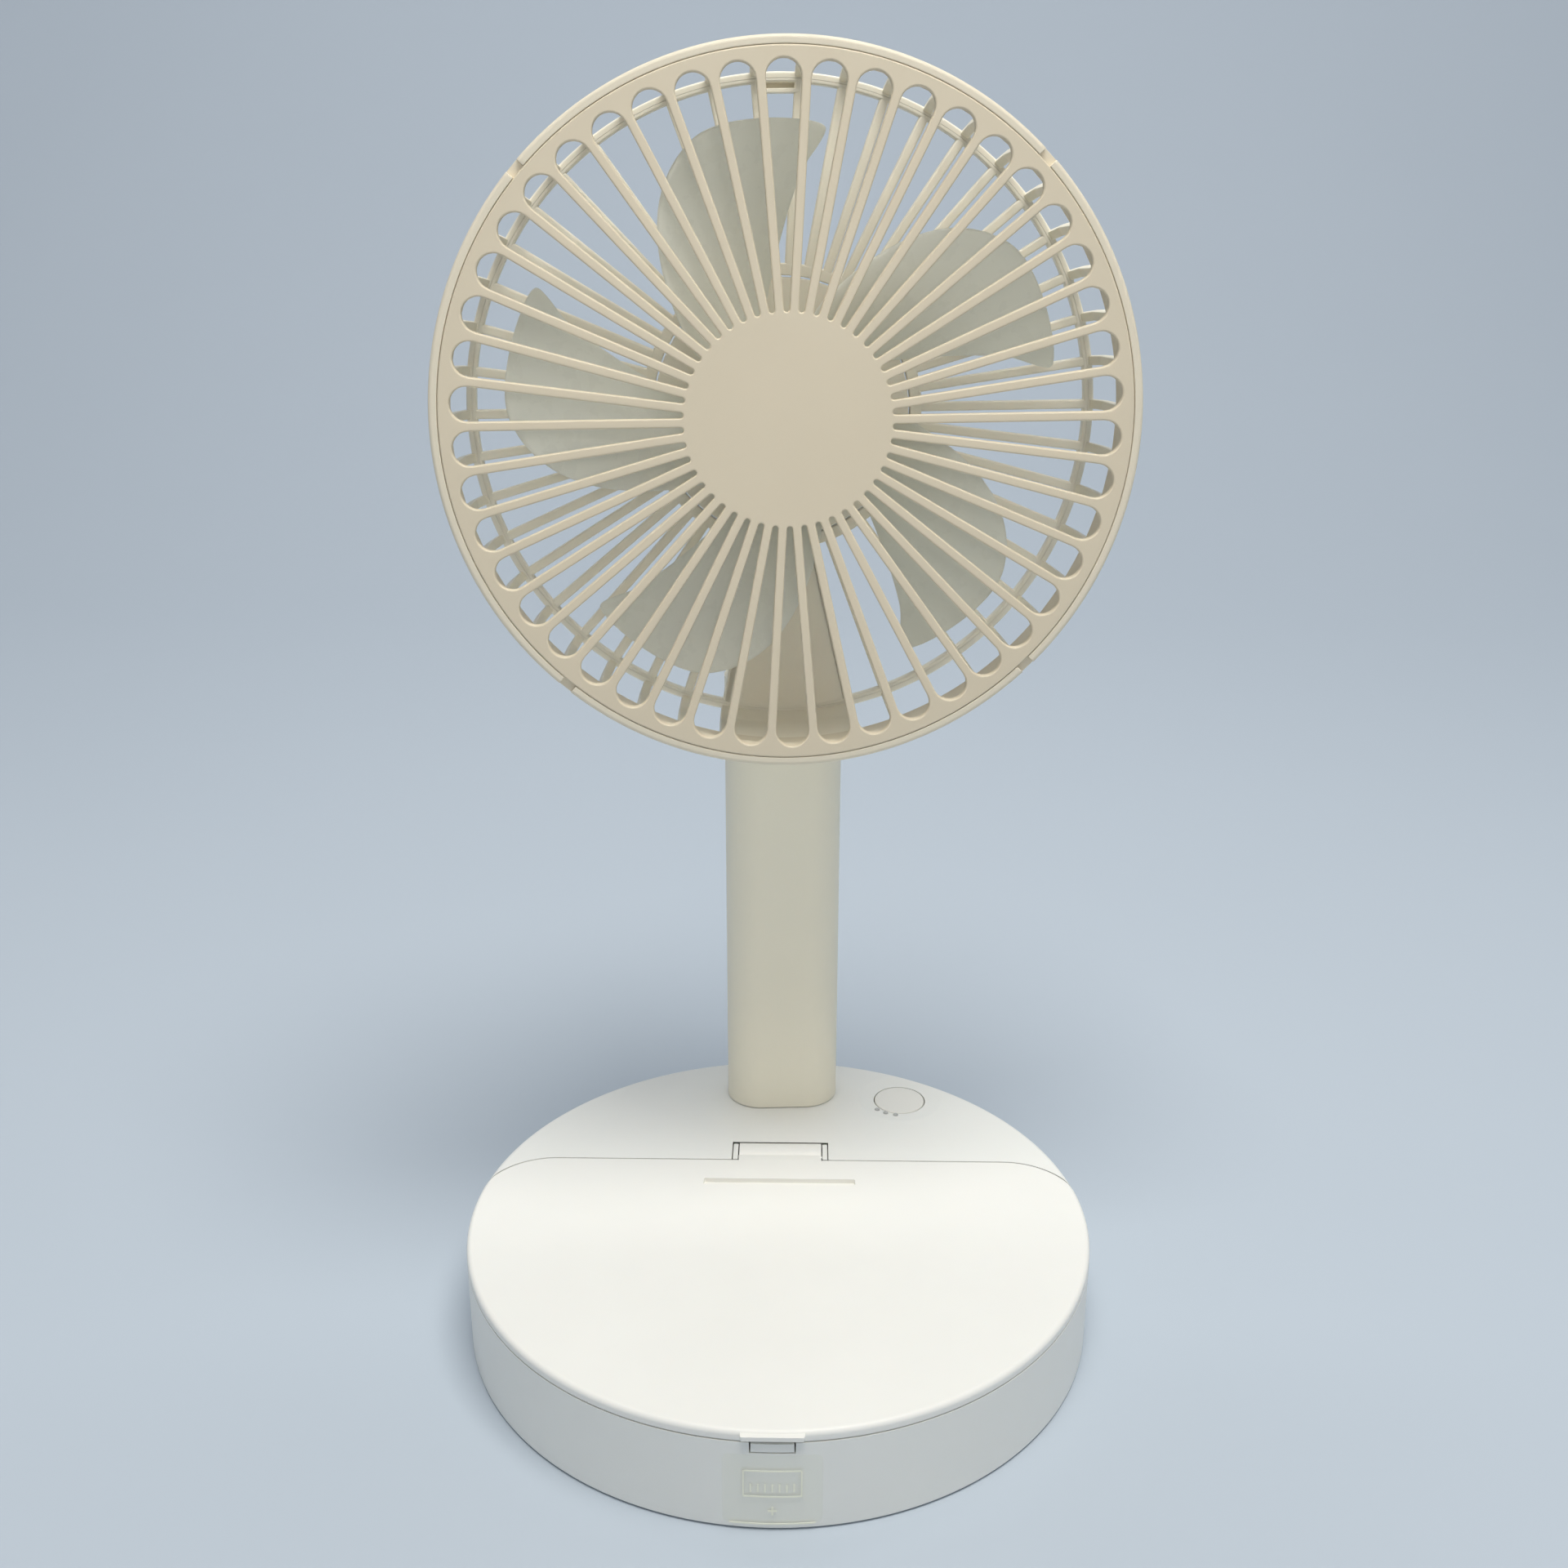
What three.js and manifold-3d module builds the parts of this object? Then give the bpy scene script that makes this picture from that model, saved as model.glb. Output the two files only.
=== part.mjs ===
// Compact desk fan: a round drum base with a front storage lid, a flat upright
// pole that swivels on the base, and a round fan head that tilts on the pole.
// Millimetres, +Z up, front of the fan towards -Y, origin on the floor under
// the middle of the base.
import * as THREE from 'three';
import { mergeVertices } from 'three/addons/utils/BufferGeometryUtils.js';
import Module from 'manifold-3d';

const wasm = await Module();
wasm.setup();

// ---------------------------------------------------------------- dimensions
const BASE_R = 80;            // drum outer radius
const WALL = 2.1;             // drum wall thickness
const BASE_BOTTOM = 0.4;      // lower edge of the drum wall
const DECK_TOP = 26.9;        // top of the rear deck and of the lid
const DECK_UNDER = 24.5;
const SEAM_Z = 24.0;          // top of the drum wall under the lid
const LID_UNDER = 24.3;
const SEAM_Y = 25.9;          // straight front edge of the rear deck
const LID_BACK_Y = 25.3;      // rear edge of the lid
const CORNER_X = 61;          // where the straight edge starts to curve forward
const CORNER_R = 19.1;        // radius of the lid's rear corners
const FLOOR_LOW = 8.0;        // storage compartment floor
const FLOOR_TOP = 9.6;
const GAP = 0.3;
const HINGE_Y = 32.7;         // lid hinge axis
const HINGE_Z = 22.8;
const KNUCKLE_R = 4.15;
const KNUCKLE_X = 11.35;
const PIN_R = 1.2;
const PIN_BORE = 1.36;
const BUTTON_X = 34.4;        // power button
const BUTTON_Y = 58.5;
const BUTTON_R = 7.2;
const POLE_Y = 62.6;          // swivel axis
const POLE_W = 31.6;
const POLE_D = 20;
const POLE_END_R = 9.6;
const POLE_WALL = 2.2;
const POLE_LOW = 27.2;
const POLE_YAW = 3;           // degrees, head turned a little to +X
const PIVOT_Z = 146;          // tilt axis height
const EAR_IN = 7.5;
const EAR_R = 9;
const TILT_PIN_R = 2.5;
const TILT_BORE = 2.68;
const HEAD_TILT = 3.95;       // degrees, front tipped up
const HEAD_ROLL = 0.84;      // degrees, the head leans to -X in the play of its joint
const HUB_UP = 79.94;         // fan axis above the tilt axis
const HEAD_R = 79.9;          // rim outer radius
const PLATE_FRONT = 60.25;    // front plane, forward of the tilt axis
const PLATE_T = 2.2;
const PLATE_R = 77.6;
const SLOTS = 46;
const SLOT_END_R = 75.12;
const SPOKE_W = 2.05;
const HUB_DISC_R = 23.9;
const REAR_PLANE = 19.9;
const REAR_PITCH = 360 / 46;
const RING_R = 75.1;          // outer edge of the rear guard, inside the rim's fingers
const SLOT_OUT = 74.14;       // outer end of the rear slots
const CAGE_R = 76.6;          // outer edge of the ring where the fingers end
const ROTOR_W = 40;           // middle plane of the blades
const TIP_R = 65;

const deg = Math.PI / 180;

// ------------------------------------------------------------------- helpers
function toSolid(geometry) {
  let g = geometry.index ? geometry.toNonIndexed() : geometry.clone();
  g.deleteAttribute('normal');
  g.deleteAttribute('uv');
  g = mergeVertices(g, 1e-4);
  // drop the collapsed triangles that a lathe leaves on its axis
  const idx = g.index.array;
  const keep = [];
  for (let i = 0; i < idx.length; i += 3) {
    const [a, b, c] = [idx[i], idx[i + 1], idx[i + 2]];
    if (a !== b && b !== c && a !== c) keep.push(a, b, c);
  }
  return new wasm.Manifold(new wasm.Mesh({
    numProp: 3,
    vertProperties: new Float32Array(g.attributes.position.array),
    triVerts: new Uint32Array(keep),
  }));
}
function toGeometry(solid) {
  const m = solid.getMesh();
  const g = new THREE.BufferGeometry();
  g.setAttribute('position', new THREE.BufferAttribute(new Float32Array(m.vertProperties), 3));
  g.setIndex(new THREE.BufferAttribute(new Uint32Array(m.triVerts), 1));
  g.computeVertexNormals();
  return g;
}
const join = (...s) => s.reduce((a, b) => a.add(b));
const cut = (a, ...s) => s.reduce((r, b) => r.subtract(b), a);

// closed ring or disc about +Z from [radius, z] pairs, counter-clockwise when
// seen with the radius to the right and z up
function lathe(points, seg = 72) {
  const onAxis = points[0][0] === 0 && points[points.length - 1][0] === 0;
  const pts = points.map(([r, z]) => new THREE.Vector2(r, z));
  if (!onAxis) pts.push(pts[0].clone());
  const g = new THREE.LatheGeometry(pts, seg);
  g.rotateX(Math.PI / 2); // the lathe turns about Y
  return toSolid(fixWinding(g));
}
function fixWinding(g) {
  // make the signed volume positive
  const n = g.index ? g.toNonIndexed() : g;
  const p = n.attributes.position.array;
  let v = 0;
  for (let i = 0; i < p.length; i += 9) {
    v += p[i] * (p[i + 4] * p[i + 8] - p[i + 5] * p[i + 7])
       - p[i + 1] * (p[i + 3] * p[i + 8] - p[i + 5] * p[i + 6])
       + p[i + 2] * (p[i + 3] * p[i + 7] - p[i + 4] * p[i + 6]);
  }
  if (v < 0) {
    for (let i = 0; i < p.length; i += 9) {
      for (let k = 0; k < 3; k++) {
        const t = p[i + 3 + k]; p[i + 3 + k] = p[i + 6 + k]; p[i + 6 + k] = t;
      }
    }
  }
  return n;
}
function box(x0, x1, y0, y1, z0, z1) {
  const g = new THREE.BoxGeometry(x1 - x0, y1 - y0, z1 - z0);
  g.translate((x0 + x1) / 2, (y0 + y1) / 2, (z0 + z1) / 2);
  return toSolid(g);
}
function cyl(r, z0, z1, x = 0, y = 0, seg = 48, r2 = r) {
  const g = new THREE.CylinderGeometry(r2, r, z1 - z0, seg); // r2 at the top
  g.rotateX(Math.PI / 2);
  g.translate(x, y, (z0 + z1) / 2);
  return toSolid(g);
}
function cylX(r, x0, x1, y, z, seg = 32) {
  const g = new THREE.CylinderGeometry(r, r, x1 - x0, seg);
  g.rotateZ(Math.PI / 2);
  g.translate((x0 + x1) / 2, y, z);
  return toSolid(g);
}
function prism(shape, z0, z1, curveSegments = 8) {
  const g = new THREE.ExtrudeGeometry(shape, { depth: z1 - z0, bevelEnabled: false, curveSegments });
  g.translate(0, 0, z0);
  return toSolid(fixWinding(g));
}
// polygon of [y, z] pairs pushed along X
function prismX(points, x0, x1) {
  const s = new THREE.Shape(points.map(([y, z]) => new THREE.Vector2(y, z)));
  const g = new THREE.ExtrudeGeometry(s, { depth: x1 - x0, bevelEnabled: false });
  // (a, b, c) -> (c, a, b)
  g.applyMatrix4(new THREE.Matrix4().set(0, 0, 1, 0, 1, 0, 0, 0, 0, 1, 0, 0, 0, 0, 0, 1));
  g.translate(x0, 0, 0);
  return toSolid(fixWinding(g));
}
function arcPoints(cx, cy, r, a0, a1, n) {
  const out = [];
  for (let i = 0; i <= n; i++) {
    const a = (a0 + (a1 - a0) * i / n) * deg;
    out.push([cx + r * Math.cos(a), cy + r * Math.sin(a)]);
  }
  return out;
}
const shapeOf = (pts) => new THREE.Shape(pts.map(([x, y]) => new THREE.Vector2(x, y)));
function roundRect(x0, x1, y0, y1, r, n = 5) {
  return shapeOf([
    ...arcPoints(x1 - r, y1 - r, r, 0, 90, n), ...arcPoints(x0 + r, y1 - r, r, 90, 180, n),
    ...arcPoints(x0 + r, y0 + r, r, 180, 270, n), ...arcPoints(x1 - r, y0 + r, r, 270, 360, n),
  ]);
}

const material = (color, roughness, metalness = 0, extra = {}) =>
  new THREE.MeshStandardMaterial({ color, roughness, metalness, ...extra });
const CREAM = 0xefe9da, PLATE = 0xe6dccb, STEEL = 0xb9bcc0, DARK = 0x2b2c2e,
  BLACK = 0x1c1c1e, GREEN = 0x2f6b45, WHITE = 0xeef0ea, COPPER = 0xc98b4a;

const fan = new THREE.Group();
function add(parent, name, solid, mat) {
  const mesh = new THREE.Mesh(toGeometry(solid), mat);
  mesh.name = name;
  parent.add(mesh);
  return mesh;
}

// ===================================================================== base
const base = new THREE.Group();
fan.add(base);

const SCREWS = [[52, 46], [-52, 46], [50, -44], [-50, -44]];
const FEET = [[42, 55], [-42, 55], [44, -55], [-44, -55]];
const LEDS = [[27.7, 53.0], [30.1, 51.25], [32.9, 50.25]];

// everything in front of the seam between lid and deck, moved forward by a gap
function frontRegion(gap, z0, z1) {
  const cy = SEAM_Y - CORNER_R;
  const right = arcPoints(CORNER_X, cy, CORNER_R - gap, 12, 90, 8);
  const left = right.map(([x, y]) => [-x, y]).reverse();
  return prism(shapeOf([[-100, -100], [100, -100], [100, right[0][1]], ...right, ...left, [-100, right[0][1]]]), z0, z1);
}
// storage floor: front part of a disc, straight along the bulkhead
function frontDisc(r, y, z0, z1) {
  return cyl(r, z0, z1, 0, 0, 72).subtract(box(-100, 100, y, 100, z0 - 1, z1 + 1));
}
{
  // drum wall, rounded off a little at the foot and at the rear deck's edge
  const inner = BASE_R - WALL;
  let body = lathe([[inner, BASE_BOTTOM], [BASE_R - 0.8, BASE_BOTTOM], [BASE_R, BASE_BOTTOM + 1.2],
    [BASE_R, DECK_TOP - 1.6], [BASE_R - 0.5, DECK_TOP - 0.5], [BASE_R - 1.6, DECK_TOP], [inner, DECK_TOP]]);
  // rear deck
  const deck = cyl(inner + 0.2, DECK_UNDER, DECK_TOP, 0, 0, 72).subtract(frontRegion(0, 0, 60));
  // the front of the wall stops under the lid
  body = body.subtract(frontRegion(0, SEAM_Z, 60));
  // bulkhead between the storage compartment and the rear bay, with storage floor
  const bulk = cyl(inner + 0.2, 5, SEAM_Z, 0, 0, 72).intersect(box(-100, 100, 22.6, 25.0, 5, SEAM_Z));
  const floor = frontDisc(inner + 0.2, 25.0, FLOOR_LOW, FLOOR_TOP);
  // front edge of the deck turned down onto the bulkhead line
  const apron = cyl(inner + 0.2, SEAM_Z - 4, DECK_UNDER + 0.2, 0, 0, 72)
    .intersect(join(box(-100, -17.5, 24.6, 27.6, SEAM_Z - 4, SEAM_Z - 0.1), box(17.5, 100, 24.6, 27.6, SEAM_Z - 4, SEAM_Z - 0.1),
      box(-100, -17.5, SEAM_Y, 27.6, SEAM_Z - 4, DECK_UNDER + 0.2), box(17.5, 100, SEAM_Y, 27.6, SEAM_Z - 4, DECK_UNDER + 0.2)));
  body = join(body, deck, bulk, floor, apron);
  for (const [i, [x, y]] of SCREWS.entries()) {
    body = body.add(cyl(3.6, 3.0, i < 2 ? DECK_UNDER + 0.2 : FLOOR_LOW + 0.2, x, y, 12));
  }
  for (const [x, y] of SCREWS) body = body.subtract(cyl(1.62, 2.0, 7.3, x, y, 10));
  // board posts under the deck
  for (const [x, y] of [[21.6, 57], [43.6, 49]]) body = body.add(cyl(1.5, 20.4, DECK_UNDER + 0.2, x, y, 8));
  // hinge notch, swivel hole, button hole with a shallow dish, indicator holes
  body = cut(body,
    box(-13.3, 13.3, 20, 37.3, 16.9, 60),
    cyl(7.9, 20, 30, 0, POLE_Y, 32),
    cyl(BUTTON_R + 0.3, 20, 30, BUTTON_X, BUTTON_Y, 28),
    cyl(8.2, DECK_TOP - 0.55, DECK_TOP + 0.5, BUTTON_X, BUTTON_Y, 28, 8.2 + 4.6));
  for (const [x, y] of LEDS) body = body.subtract(cyl(1.0, 20, 30, x, y, 8));
  // bulkhead back behind the notch
  // latch button pocket in the front wall, open to the lid seam
  body = body.subtract(box(-5.1, 5.1, -90, -70, 21.2, 30));
  // port opening in the rear wall
  body = body.subtract(box(24.9, 35.1, 66, 90, 14.6, 18.6));
  add(base, 'base_housing', body, material(CREAM, 0.55));
}
{
  const cover = cyl(BASE_R - WALL - GAP, 0.8, 2.7, 0, 0, 60);
  let c = cover;
  for (const [x, y] of SCREWS) c = cut(c, cyl(1.9, 0, 4, x, y, 10), cyl(3.4, 0, 1.9, x, y, 14));
  for (const [x, y] of FEET) c = c.subtract(cyl(7.6, 0, 1.5, x, y, 12));
  add(base, 'bottom_cover', c, material(CREAM, 0.6));
  for (const [i, [x, y]] of SCREWS.entries()) {
    const s = join(cyl(3.0, 1.0, 1.62, x, y, 14), cyl(1.25, 1.5, 6.8, x, y, 10)).subtract(
      join(box(x - 1.6, x + 1.6, y - 0.35, y + 0.35, 0.5, 1.35), box(x - 0.35, x + 0.35, y - 1.6, y + 1.6, 0.5, 1.35)));
    add(base, `cover_screw_${i + 1}`, s, material(STEEL, 0.35, 1));
  }
  for (const [i, [x, y]] of FEET.entries()) {
    add(base, `rubber_foot_${i + 1}`, cyl(7, 0, 1.2, x, y, 16), material(0x8d8f90, 0.9));
  }
}
{
  // steel ballast under the storage floor
  let b = frontDisc(BASE_R - WALL - 2, 21.5, 3.1, 7.6);
  for (const [x, y] of SCREWS.slice(2)) b = b.subtract(cyl(4.2, 0, 12, x, y, 12));
  add(base, 'ballast_plate', b, material(STEEL, 0.5, 1));
}
for (const [name, x] of [['battery_left', -25], ['battery_right', 25]]) {
  const can = join(cylX(6.9, x - 24.6, x + 23.4, 35.4, 9.95, 28), cylX(2.6, x + 23, x + 24.6, 35.4, 9.95, 16));
  add(base, name, can, material(0x3d6fb0, 0.45));
}
{
  const board = join(box(19.5, 47, 45.4, 60.5, 18.9, 20.1), box(24, 36, 60, 68, 18.9, 20.1));
  add(base, 'control_board', board, material(GREEN, 0.5));
  add(base, 'tact_switch', join(box(BUTTON_X - 3, BUTTON_X + 3, BUTTON_Y - 3, BUTTON_Y + 3, 20.4, 21.6),
    cyl(1.6, 21.5, 22.0, BUTTON_X, BUTTON_Y, 20)), material(BLACK, 0.5));
  const port = prism(roundRect(-4.5, 4.5, -1.6, 1.6, 1.55, 5), 0, 8);
  // shell with an open mouth, lying along +Y
  const hollow = prism(roundRect(-4.1, 4.1, -1.2, 1.2, 1.15, 5), 1.2, 9);
  const lie = (s) => { // Z -> +Y, Y -> -Z
    const g = toGeometry(s);
    g.rotateX(-Math.PI / 2);
    g.translate(30, 65.6, 16.7);
    return toSolid(g);
  };
  const tongue = join(box(-3.2, 3.2, -0.35, 0.35, 0.9, 7.2));
  add(base, 'charging_port', lie(join(port.subtract(hollow), tongue)), material(STEEL, 0.3, 1));
}
for (const [i, [x, y]] of LEDS.entries()) {
  add(base, `indicator_light_${i + 1}`, cyl(0.7, 23.95, DECK_TOP - 0.05, x, y, 10), material(WHITE, 0.3));
}
{
  // hinge cradle let into the deck notch
  const x1 = 13.0;
  const ear = (s) => {
    const pts = [[26.3, 17.2], [36.9, 17.2], [36.9, HINGE_Z], ...arcPoints(HINGE_Y, HINGE_Z, 3.95, 0, 90, 5).slice(1), [26.3, 26.75]];
    return s > 0 ? prismX(pts, 11.65, x1) : prismX(pts, -x1, -11.65);
  };
  let b = join(ear(1), ear(-1), box(-x1, x1, 26.3, 36.9, 17.2, 18.35),
    box(12, 16.8, 28.4, 36.2, 20.6, 24.2), box(-16.8, -12, 28.4, 36.2, 20.6, 24.2));
  b = b.subtract(cylX(PIN_BORE, -30, 30, HINGE_Y, HINGE_Z, 20));
  add(base, 'hinge_cradle', b, material(CREAM, 0.55));
  add(base, 'hinge_pin', cylX(PIN_R, -16.4, 16.4, HINGE_Y, HINGE_Z, 20), material(STEEL, 0.3, 1));
}
{
  // clear film sticker on the front of the drum
  const ring = lathe([[BASE_R + 0.1, 1.9], [BASE_R + 0.4, 1.9], [BASE_R + 0.4, 20.8], [BASE_R + 0.1, 20.8]], 72);
  const s = prism(roundRect(-11.1, 11.1, 1.9, 20.8, 1.8, 4), 0, 12);
  const g = toGeometry(s);
  g.rotateX(Math.PI / 2); // (x, y, z) -> (x, -z, y)
  g.translate(0, -72, 0);
  add(base, 'front_label', ring.intersect(toSolid(g)), material(0xdfe8ea, 0.15, 0, { transparent: true, opacity: 0.35 }));
}
{
  add(base, 'swivel_washer', lathe([[8.2, 23.1], [12.6, 23.1], [12.6, 24.2], [8.2, 24.2]], 24), material(WHITE, 0.4));
}

// ====================================================================== lid
const lid = new THREE.Group();
fan.add(lid);
{
  const edge = 2.0;
  let body = lathe([[0, LID_UNDER], [BASE_R - 0.35, LID_UNDER], [BASE_R, LID_UNDER + 0.35], [BASE_R, DECK_TOP - edge],
    ...arcPoints(BASE_R - edge, DECK_TOP - edge, edge, 0, 90, 4).slice(1), [0, DECK_TOP]]);
  body = body.intersect(frontRegion(SEAM_Y - LID_BACK_Y, 0, 60));
  // rear edge undercut so that it swings clear of the deck
  body = body.subtract(prismX([[LID_BACK_Y + 0.2, DECK_TOP - 0.35], [LID_BACK_Y + 0.2, LID_UNDER - 0.5], [LID_BACK_Y - 1.3, LID_UNDER - 0.5]], -100, 100));
  // hinge knuckle and neck
  const neck = box(-KNUCKLE_X, KNUCKLE_X, LID_BACK_Y - 3, HINGE_Y, LID_UNDER, DECK_TOP);
  let knuckle = join(cylX(KNUCKLE_R, -KNUCKLE_X, KNUCKLE_X, HINGE_Y, HINGE_Z, 32), neck);
  body = body.add(knuckle);
  body = cut(body, cylX(PIN_BORE, -30, 30, HINGE_Y, HINGE_Z, 20),
    // straight rest groove on the top
    box(-20.35, 20.35, 14.4, 17.5, DECK_TOP - 1.3, 40));
  // finger lip, stiffening rib and catch tongue
  body = join(body, box(-7.05, 7.05, -80.9, -77.5, 25.3, 26.3));
  body = body.add(box(-3.6, 3.6, -73.2, -71.6, 20.2, LID_UNDER + 0.2));
  add(lid, 'lid', body, material(CREAM, 0.5));
}

// =========================================================== latch and power
{
  const ring = cyl(BASE_R - 0.02, 21.5, 23.7, 0, 0, 72);
  const b = join(ring.intersect(box(-4.8, 4.8, -90, -75.2, 21.5, 23.7)), box(-7.2, 7.2, -77.0, -75.4, 21.5, 23.7).intersect(cyl(77.4, 20, 25, 0, 0, 72)));
  add(base, 'latch_button', b, material(CREAM, 0.55));
  const p = lathe([[0, 22.95], [8.3, 22.95], [8.3, 23.6], [BUTTON_R, 23.6], [BUTTON_R, DECK_TOP - 0.2], [BUTTON_R - 0.6, DECK_TOP + 0.15], [0, DECK_TOP + 0.3]], 28);
  const g = toGeometry(p);
  g.translate(BUTTON_X, BUTTON_Y, 0);
  add(base, 'power_button', toSolid(g), material(CREAM, 0.45));
}

// ===================================================================== pole
const pole = new THREE.Group();
pole.position.set(0, POLE_Y, 0);
pole.rotation.z = POLE_YAW * deg;
fan.add(pole);
const halfW = POLE_W / 2, halfD = POLE_D / 2;
{
  const sec = (d, r) => roundRect(-halfW + d, halfW - d, -halfD + d, halfD - d, r, 5);
  const top = PIVOT_Z + EAR_R;
  let tube = prism(sec(0, POLE_END_R), POLE_LOW, top);
  // hollow below the ears
  const bore = prism(sec(POLE_WALL, POLE_END_R - POLE_WALL), POLE_LOW - 1, 130.5);
  tube = tube.subtract(bore);
  // lead passage up to the fork
  tube = tube.subtract(cyl(4, 120, 140, 0, 0, 24));
  // fork slot and rounded ear tops
  tube = tube.subtract(box(-EAR_IN, EAR_IN, -20, 20, PIVOT_Z - 12.2, top + 1));
  const earProfile = [[-15, 100], [15, 100], [15, PIVOT_Z - 9], [halfD, PIVOT_Z], ...arcPoints(0, PIVOT_Z, halfD, 0, 180, 14).slice(1, -1).map(([y, z]) => [y, Math.min(z, PIVOT_Z + EAR_R)]), [-halfD, PIVOT_Z], [-15, PIVOT_Z - 9]];
  const earCut = prismX(earProfile, -30, 30);
  tube = tube.intersect(join(earCut, box(-30, 30, -30, 30, 0, 120)));
  tube = tube.subtract(cylX(TILT_BORE, -30, 30, 0, PIVOT_Z, 24));
  // screw bosses
  const screwsZ = [44, 118];
  let front = tube.subtract(box(-40, 40, -0.15, 40, 0, 300));
  let rear = tube.subtract(box(-40, 40, -40, 0.15, 0, 300));
  const alongY = (s, x, z) => { const g = toGeometry(s); g.rotateX(Math.PI / 2); g.translate(x, 0, z); return toSolid(g); }; // local z -> -Y
  for (const z of screwsZ) {
    front = front.add(alongY(cyl(3, 0.15, halfD - 1, 0, 0, 12), 9.5, z));
    rear = rear.add(alongY(cyl(3, -halfD + 1, -0.15, 0, 0, 12), 9.5, z));
  }
  for (const z of screwsZ) {
    front = front.subtract(alongY(cyl(1.55, -1, halfD - 2.6, 0, 0, 10), 9.5, z));
    rear = cut(rear, alongY(cyl(1.55, -20, 2, 0, 0, 10), 9.5, z), alongY(cyl(2.7, -20, -halfD + 2.2, 0, 0, 12), 9.5, z));
  }
  add(pole, 'pole_front_shell', front, material(CREAM, 0.55));
  add(pole, 'pole_rear_shell', rear, material(CREAM, 0.55));
  for (const [i, z] of screwsZ.entries()) {
    const s = join(cyl(1.15, -halfD + 1.8, halfD - 3.4, 0, 0, 10), cyl(2.2, -halfD + 0.5, -halfD + 1.9, 0, 0, 12));
    add(pole, `pole_screw_${i + 1}`, alongY(s, 9.5, z), material(STEEL, 0.35, 1));
  }
  // hollow swivel spindle with a plug that fills the foot of the pole
  const plug = prism(sec(POLE_WALL + GAP, POLE_END_R - POLE_WALL - GAP), POLE_LOW + 0.1, 35);
  let spindle = join(plug, cyl(7.5, 17.2, 30, 0, 0, 32)).subtract(cyl(3.2, 0, 60, 0, 0, 16));
  add(pole, 'swivel_spindle', spindle, material(WHITE, 0.45));
  add(pole, 'swivel_nut', lathe([[7.8, 18.6], [12.2, 18.6], [12.2, 22.8], [7.8, 22.8]], 24), material(STEEL, 0.4, 1));
  add(pole, 'power_lead', cyl(1.7, 19, 136, 0, 0, 12), material(DARK, 0.6));
}
{
  // tilt pin with a head on one side
  add(pole, 'tilt_pin', cylX(TILT_PIN_R, -15.4, 15.4, 0, PIVOT_Z, 20), material(STEEL, 0.3, 1));
}

// ===================================================================== head
// local x to the right, y up, z forward along the fan axis, after the turn
const tilt = new THREE.Group();
tilt.position.set(0, 0, PIVOT_Z);
tilt.rotation.x = -HEAD_TILT * deg;
tilt.rotation.y = -HEAD_ROLL * deg;
pole.add(tilt);
const head = new THREE.Group();
head.position.set(0, 0, HUB_UP);
head.rotation.x = Math.PI / 2;
tilt.add(head);

function radialBox(angle, r0, r1, halfWidth, w0, w1) {
  const s = box(r0, r1, -halfWidth, halfWidth, w0, w1);
  const g = toGeometry(s);
  g.rotateZ(angle * deg);
  return toSolid(g);
}
{
  // front grille: flat plate with wedge slots between straight spokes
  const shape = shapeOf(arcPoints(0, 0, PLATE_R, 0, 360, 69).slice(0, -1));
  const pitch = 360 / SLOTS;
  const h = pitch / 2 * deg;
  const inner = HUB_DISC_R + 0.1;
  for (let i = 0; i < SLOTS; i++) {
    const a = 90 + i * pitch;
    // outer semicircle tangent to both spoke sides
    const k = Math.sin(h);
    const rad = (SLOT_END_R * k - SPOKE_W / 2) / (1 + k);
    const c = SLOT_END_R - rad;
    const pts = [];
    for (let j = 0; j <= 4; j++) {
      const t = -90 + 180 * j / 4;
      pts.push([c + rad * Math.cos(t * deg), rad * Math.sin(t * deg)]);
    }
    const ri = 0.85;
    const ci = inner + ri;
    const half = ci * Math.tan(h) - SPOKE_W / 2 / Math.cos(h);
    for (const dy of [1, -1]) pts.push([inner, dy * Math.max(half, 0.45)]);
    const hole = new THREE.Path(pts.map(([x, y]) => {
      const ca = Math.cos(a * deg), sa = Math.sin(a * deg);
      return new THREE.Vector2(x * ca - y * sa, x * sa + y * ca);
    }));
    shape.holes.push(hole);
  }
  const plate = prism(shape, PLATE_FRONT - PLATE_T, PLATE_FRONT);
  add(head, 'front_grille', plate, material(PLATE, 0.55));
}
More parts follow.
